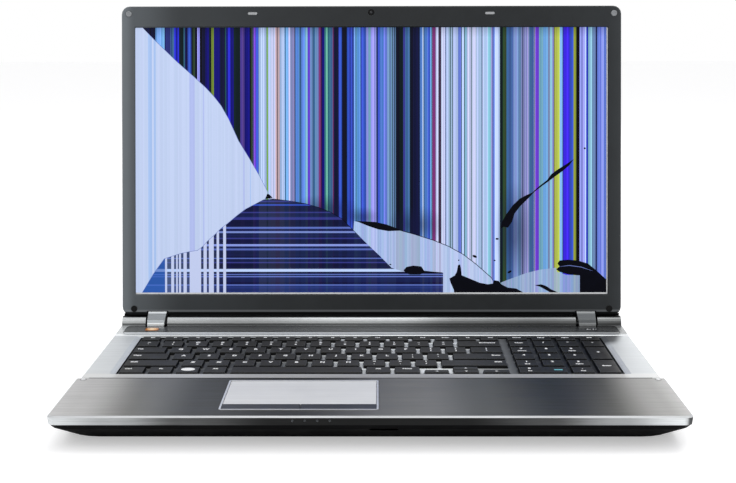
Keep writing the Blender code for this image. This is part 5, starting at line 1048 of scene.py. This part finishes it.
def fine_lines(tree, where, pitch, colour, strength, tints=0.0, dropped=0.0):
    """Lines one pitch wide, each a little lighter, darker or tinted than the band it is in, and a
    share of them nearly out."""
    step = node(tree, "ShaderNodeMath", where, pitch, operation="SNAP")
    noise = tree.nodes.new("ShaderNodeTexWhiteNoise")
    noise.noise_dimensions = "1D"
    tree.links.new(step, noise.inputs["W"])
    chance = noise.outputs["Value"]
    level = node(tree, "ShaderNodeMapRange", chance, 0, 1, 1 - strength, 1 + strength)
    if dropped:
        out = node(tree, "ShaderNodeMath", chance, dropped, operation="GREATER_THAN")
        level = node(tree, "ShaderNodeMath", level, node(tree, "ShaderNodeMapRange", out, 0, 1, 0.35, 1),
                     operation="MULTIPLY")
    toned = tree.nodes.new("ShaderNodeVectorMath")
    toned.operation = "SCALE"
    tree.links.new(colour, toned.inputs[0])
    tree.links.new(level, toned.inputs["Scale"])
    if not tints:
        return toned.outputs[0]
    return node(tree, "ShaderNodeMixRGB", tints, toned.outputs[0], noise.outputs["Color"], blend_type="SOFT_LIGHT")


def smudge(tree, x, y, across_x, up_y, wide, tall):
    """A soft round patch on the panel, 1 in its middle and 0 at its edge."""
    spread = tree.nodes.new("ShaderNodeCombineXYZ")
    tree.links.new(node(tree, "ShaderNodeMath", x, 1 / wide, -across_x / wide, operation="MULTIPLY_ADD"),
                   spread.inputs["X"])
    tree.links.new(node(tree, "ShaderNodeMath", y, 1 / tall, -up_y / tall, operation="MULTIPLY_ADD"),
                   spread.inputs["Y"])
    away = tree.nodes.new("ShaderNodeVectorMath")
    away.operation = "LENGTH"
    tree.links.new(spread.outputs[0], away.inputs[0])
    return node(tree, "ShaderNodeMapRange", away.outputs["Value"], 1, 0.2, 0, 1)


def shining(name, paint):
    """A lit field of the display; paint makes its colour from the tree and the places on the panel."""
    made, tree, shader = finish(name, (0, 0, 0, 1), 0.36, specular=0.06)
    colour = paint(tree, *panel_places(tree))
    dim = tree.nodes.new("ShaderNodeVectorMath")
    dim.operation = "SCALE"
    tree.links.new(colour, dim.inputs[0])
    dim.inputs["Scale"].default_value = 0.3
    tree.links.new(dim.outputs[0], shader.inputs["Base Color"])
    tree.links.new(colour, shader.inputs["Emission Color"])
    shader.inputs["Emission Strength"].default_value = 0.7
    varied(tree, shader, 0.32, 0.42, cloudy(tree, 30 * MM, detail=4))
    raised(tree, shader, cloudy(tree, 0.3 * MM), 0.002 * MM)
    return made


def painted(text):
    return [(start, measured(*PAINTS[word])) for start, word in pairs(text)]


def upper_stripes(tree, x, y):
    colour = fine_lines(tree, x, 0.8, striped(tree, x, painted(UPPER_STRIPES)), 0.3, 0.22, dropped=0.08)
    colour = fine_lines(tree, x, 2.3, colour, 0.16)
    top = shades(tree, node(tree, "ShaderNodeMapRange", y, 100, 109, 0, 1), (0, 1.0), (1, 0.66))
    colour = node(tree, "ShaderNodeMixRGB", 1.0, colour, top, blend_type="MULTIPLY")
    for patch in ((36, -52, 24, 16), (-38, -40, 30, 13), (116, -58, 16, 42), (-8, -46, 16, 9)):
        under = node(tree, "ShaderNodeMath", smudge(tree, x, y, *patch), 0.6, operation="MULTIPLY")
        colour = node(tree, "ShaderNodeMixRGB", under, colour, measured(*PAINTS["night"]))
    return colour


def pale_left(tree, x, y):
    return fine_lines(tree, x, 1.1, striped(tree, x, painted(LEFT_STRIPES)), 0.035, 0.03)


def pale_striped(*pale):
    def soft_stripes(tree, x, y):
        soft = node(tree, "ShaderNodeMixRGB", 0.74, striped(tree, x, painted(UPPER_STRIPES)), measured(*pale))
        return fine_lines(tree, x, 0.9, soft, 0.08, 0.16)
    return soft_stripes


def dark_rows(tree, x, y):
    rows = fine_lines(tree, y, 0.7, striped(tree, y, painted(DARK_ROWS)), 0.25, 0.1)
    faint = node(tree, "ShaderNodeMixRGB", 0.03, rows, striped(tree, x, painted(UPPER_STRIPES)))
    lift = shades(tree, node(tree, "ShaderNodeMapRange", x, -167, -118, 0, 1), (0, 0.2), (1, 0.0))
    gap = node(tree, "ShaderNodeMixRGB", lift, faint, measured(150, 180, 236))
    bars = striped(tree, x, [(-200, (0, 0, 0, 1)), (-168, (1, 1, 1, 1))]
                   + [(start, (1, 1, 1, 1) if word == "bar" else (0, 0, 0, 1)) for start, word in pairs(LATTICE)])
    return node(tree, "ShaderNodeMixRGB", bars, gap, measured(200, 211, 246))


def blue_wedge(tree, x, y):
    rows = fine_lines(tree, y, 0.8, striped(tree, y, painted(DARK_ROWS)), 0.15)
    return node(tree, "ShaderNodeMixRGB", 0.72, rows, measured(52, 104, 196))


def flat_paint(*colour):
    return lambda tree, x, y: fine_lines(tree, x, 1.0, node(tree, "ShaderNodeMixRGB", 0.5, measured(*colour),
                                                            measured(*colour)), 0.05)


field_materials = [
    shining("upper_stripes", upper_stripes), shining("pale_left", pale_left), shining("dark_rows", dark_rows),
    shining("blue_wedge", blue_wedge), shining("pale_middle", pale_striped(188, 207, 244)),
    shining("pale_right", pale_striped(164, 186, 224)),
    shining("pale_hair", flat_paint(112, 128, 196)),
]
ink_bleed, tree, shader = finish("ink_bleed", measured(4, 5, 12), 0.3, specular=0.04)
tree.links.new(node(tree, "ShaderNodeMixRGB", cloudy(tree, 5 * MM), measured(3, 4, 10), measured(9, 10, 24)),
               shader.inputs["Base Color"])
raised(tree, shader, cloudy(tree, 2 * MM), 0.02 * MM)
# Painted highlight for the light strips at the panel's edges.
painted_edge_gleam, tree, shader = finish("painted_edge_gleam", measured(190, 190, 192), 0.35)
tree.links.new(node(tree, "ShaderNodeMixRGB", cloudy(tree, 4 * MM), measured(205, 207, 210), measured(238, 239, 241)),
               shader.inputs["Base Color"])
panel_edge = moulded("panel_edge", measured(22, 22, 24), measured(60, 60, 62), roughness=0.4)
field_materials += [ink_bleed, painted_edge_gleam, panel_edge]
display = build("broken_display", panel, field_materials, "lid", LID)
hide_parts("lcd_glass")


# The hinge caps: silver covers that wrap the hinges, flat and grey in front. Their bright band where they turn round
# the bar and their bright upper edge are painted highlights, and the right cap is painted darker as shade.
cap_metal, tree, shader = finish("cap_metal", measured(150, 152, 154), 0.3, metallic=0.5, specular=0.2)
tall = node(tree, "ShaderNodeSeparateXYZ", tree.nodes.new("ShaderNodeTexCoord").outputs["Object"])
tall = tall.node.outputs["Z"]
low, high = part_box("hinge_cap_left")
rise = node(tree, "ShaderNodeMapRange", tall, low.z, high.z, 0, 1)
# Painted highlights: a bright band low on the caps and a bright upper edge.
cap_highlight_bands = shades(tree, rise, (0.0, measured(150, 151, 152)), (0.16, measured(250, 250, 250)),
                   (0.36, measured(255, 255, 255)), (0.48, measured(236, 237, 238)), (0.56, measured(140, 142, 144)),
                   (0.9, measured(148, 150, 152)), (0.96, measured(226, 227, 228)))
# Painted shade: the right cap darker than the left.
sides = across(tree, -HALF_BASE, HALF_BASE, (-205, 255), (0, 255), (100, 160), (205, 160))
cap_highlight_bands = node(tree, "ShaderNodeMixRGB", 1.0, cap_highlight_bands, sides, blend_type="MULTIPLY")
brushed(tree, shader, cap_highlight_bands, 0.3, grain=0.14 * MM, streak=0.06)
dress(cap_metal, "hinge_cap_left", "hinge_cap_right")
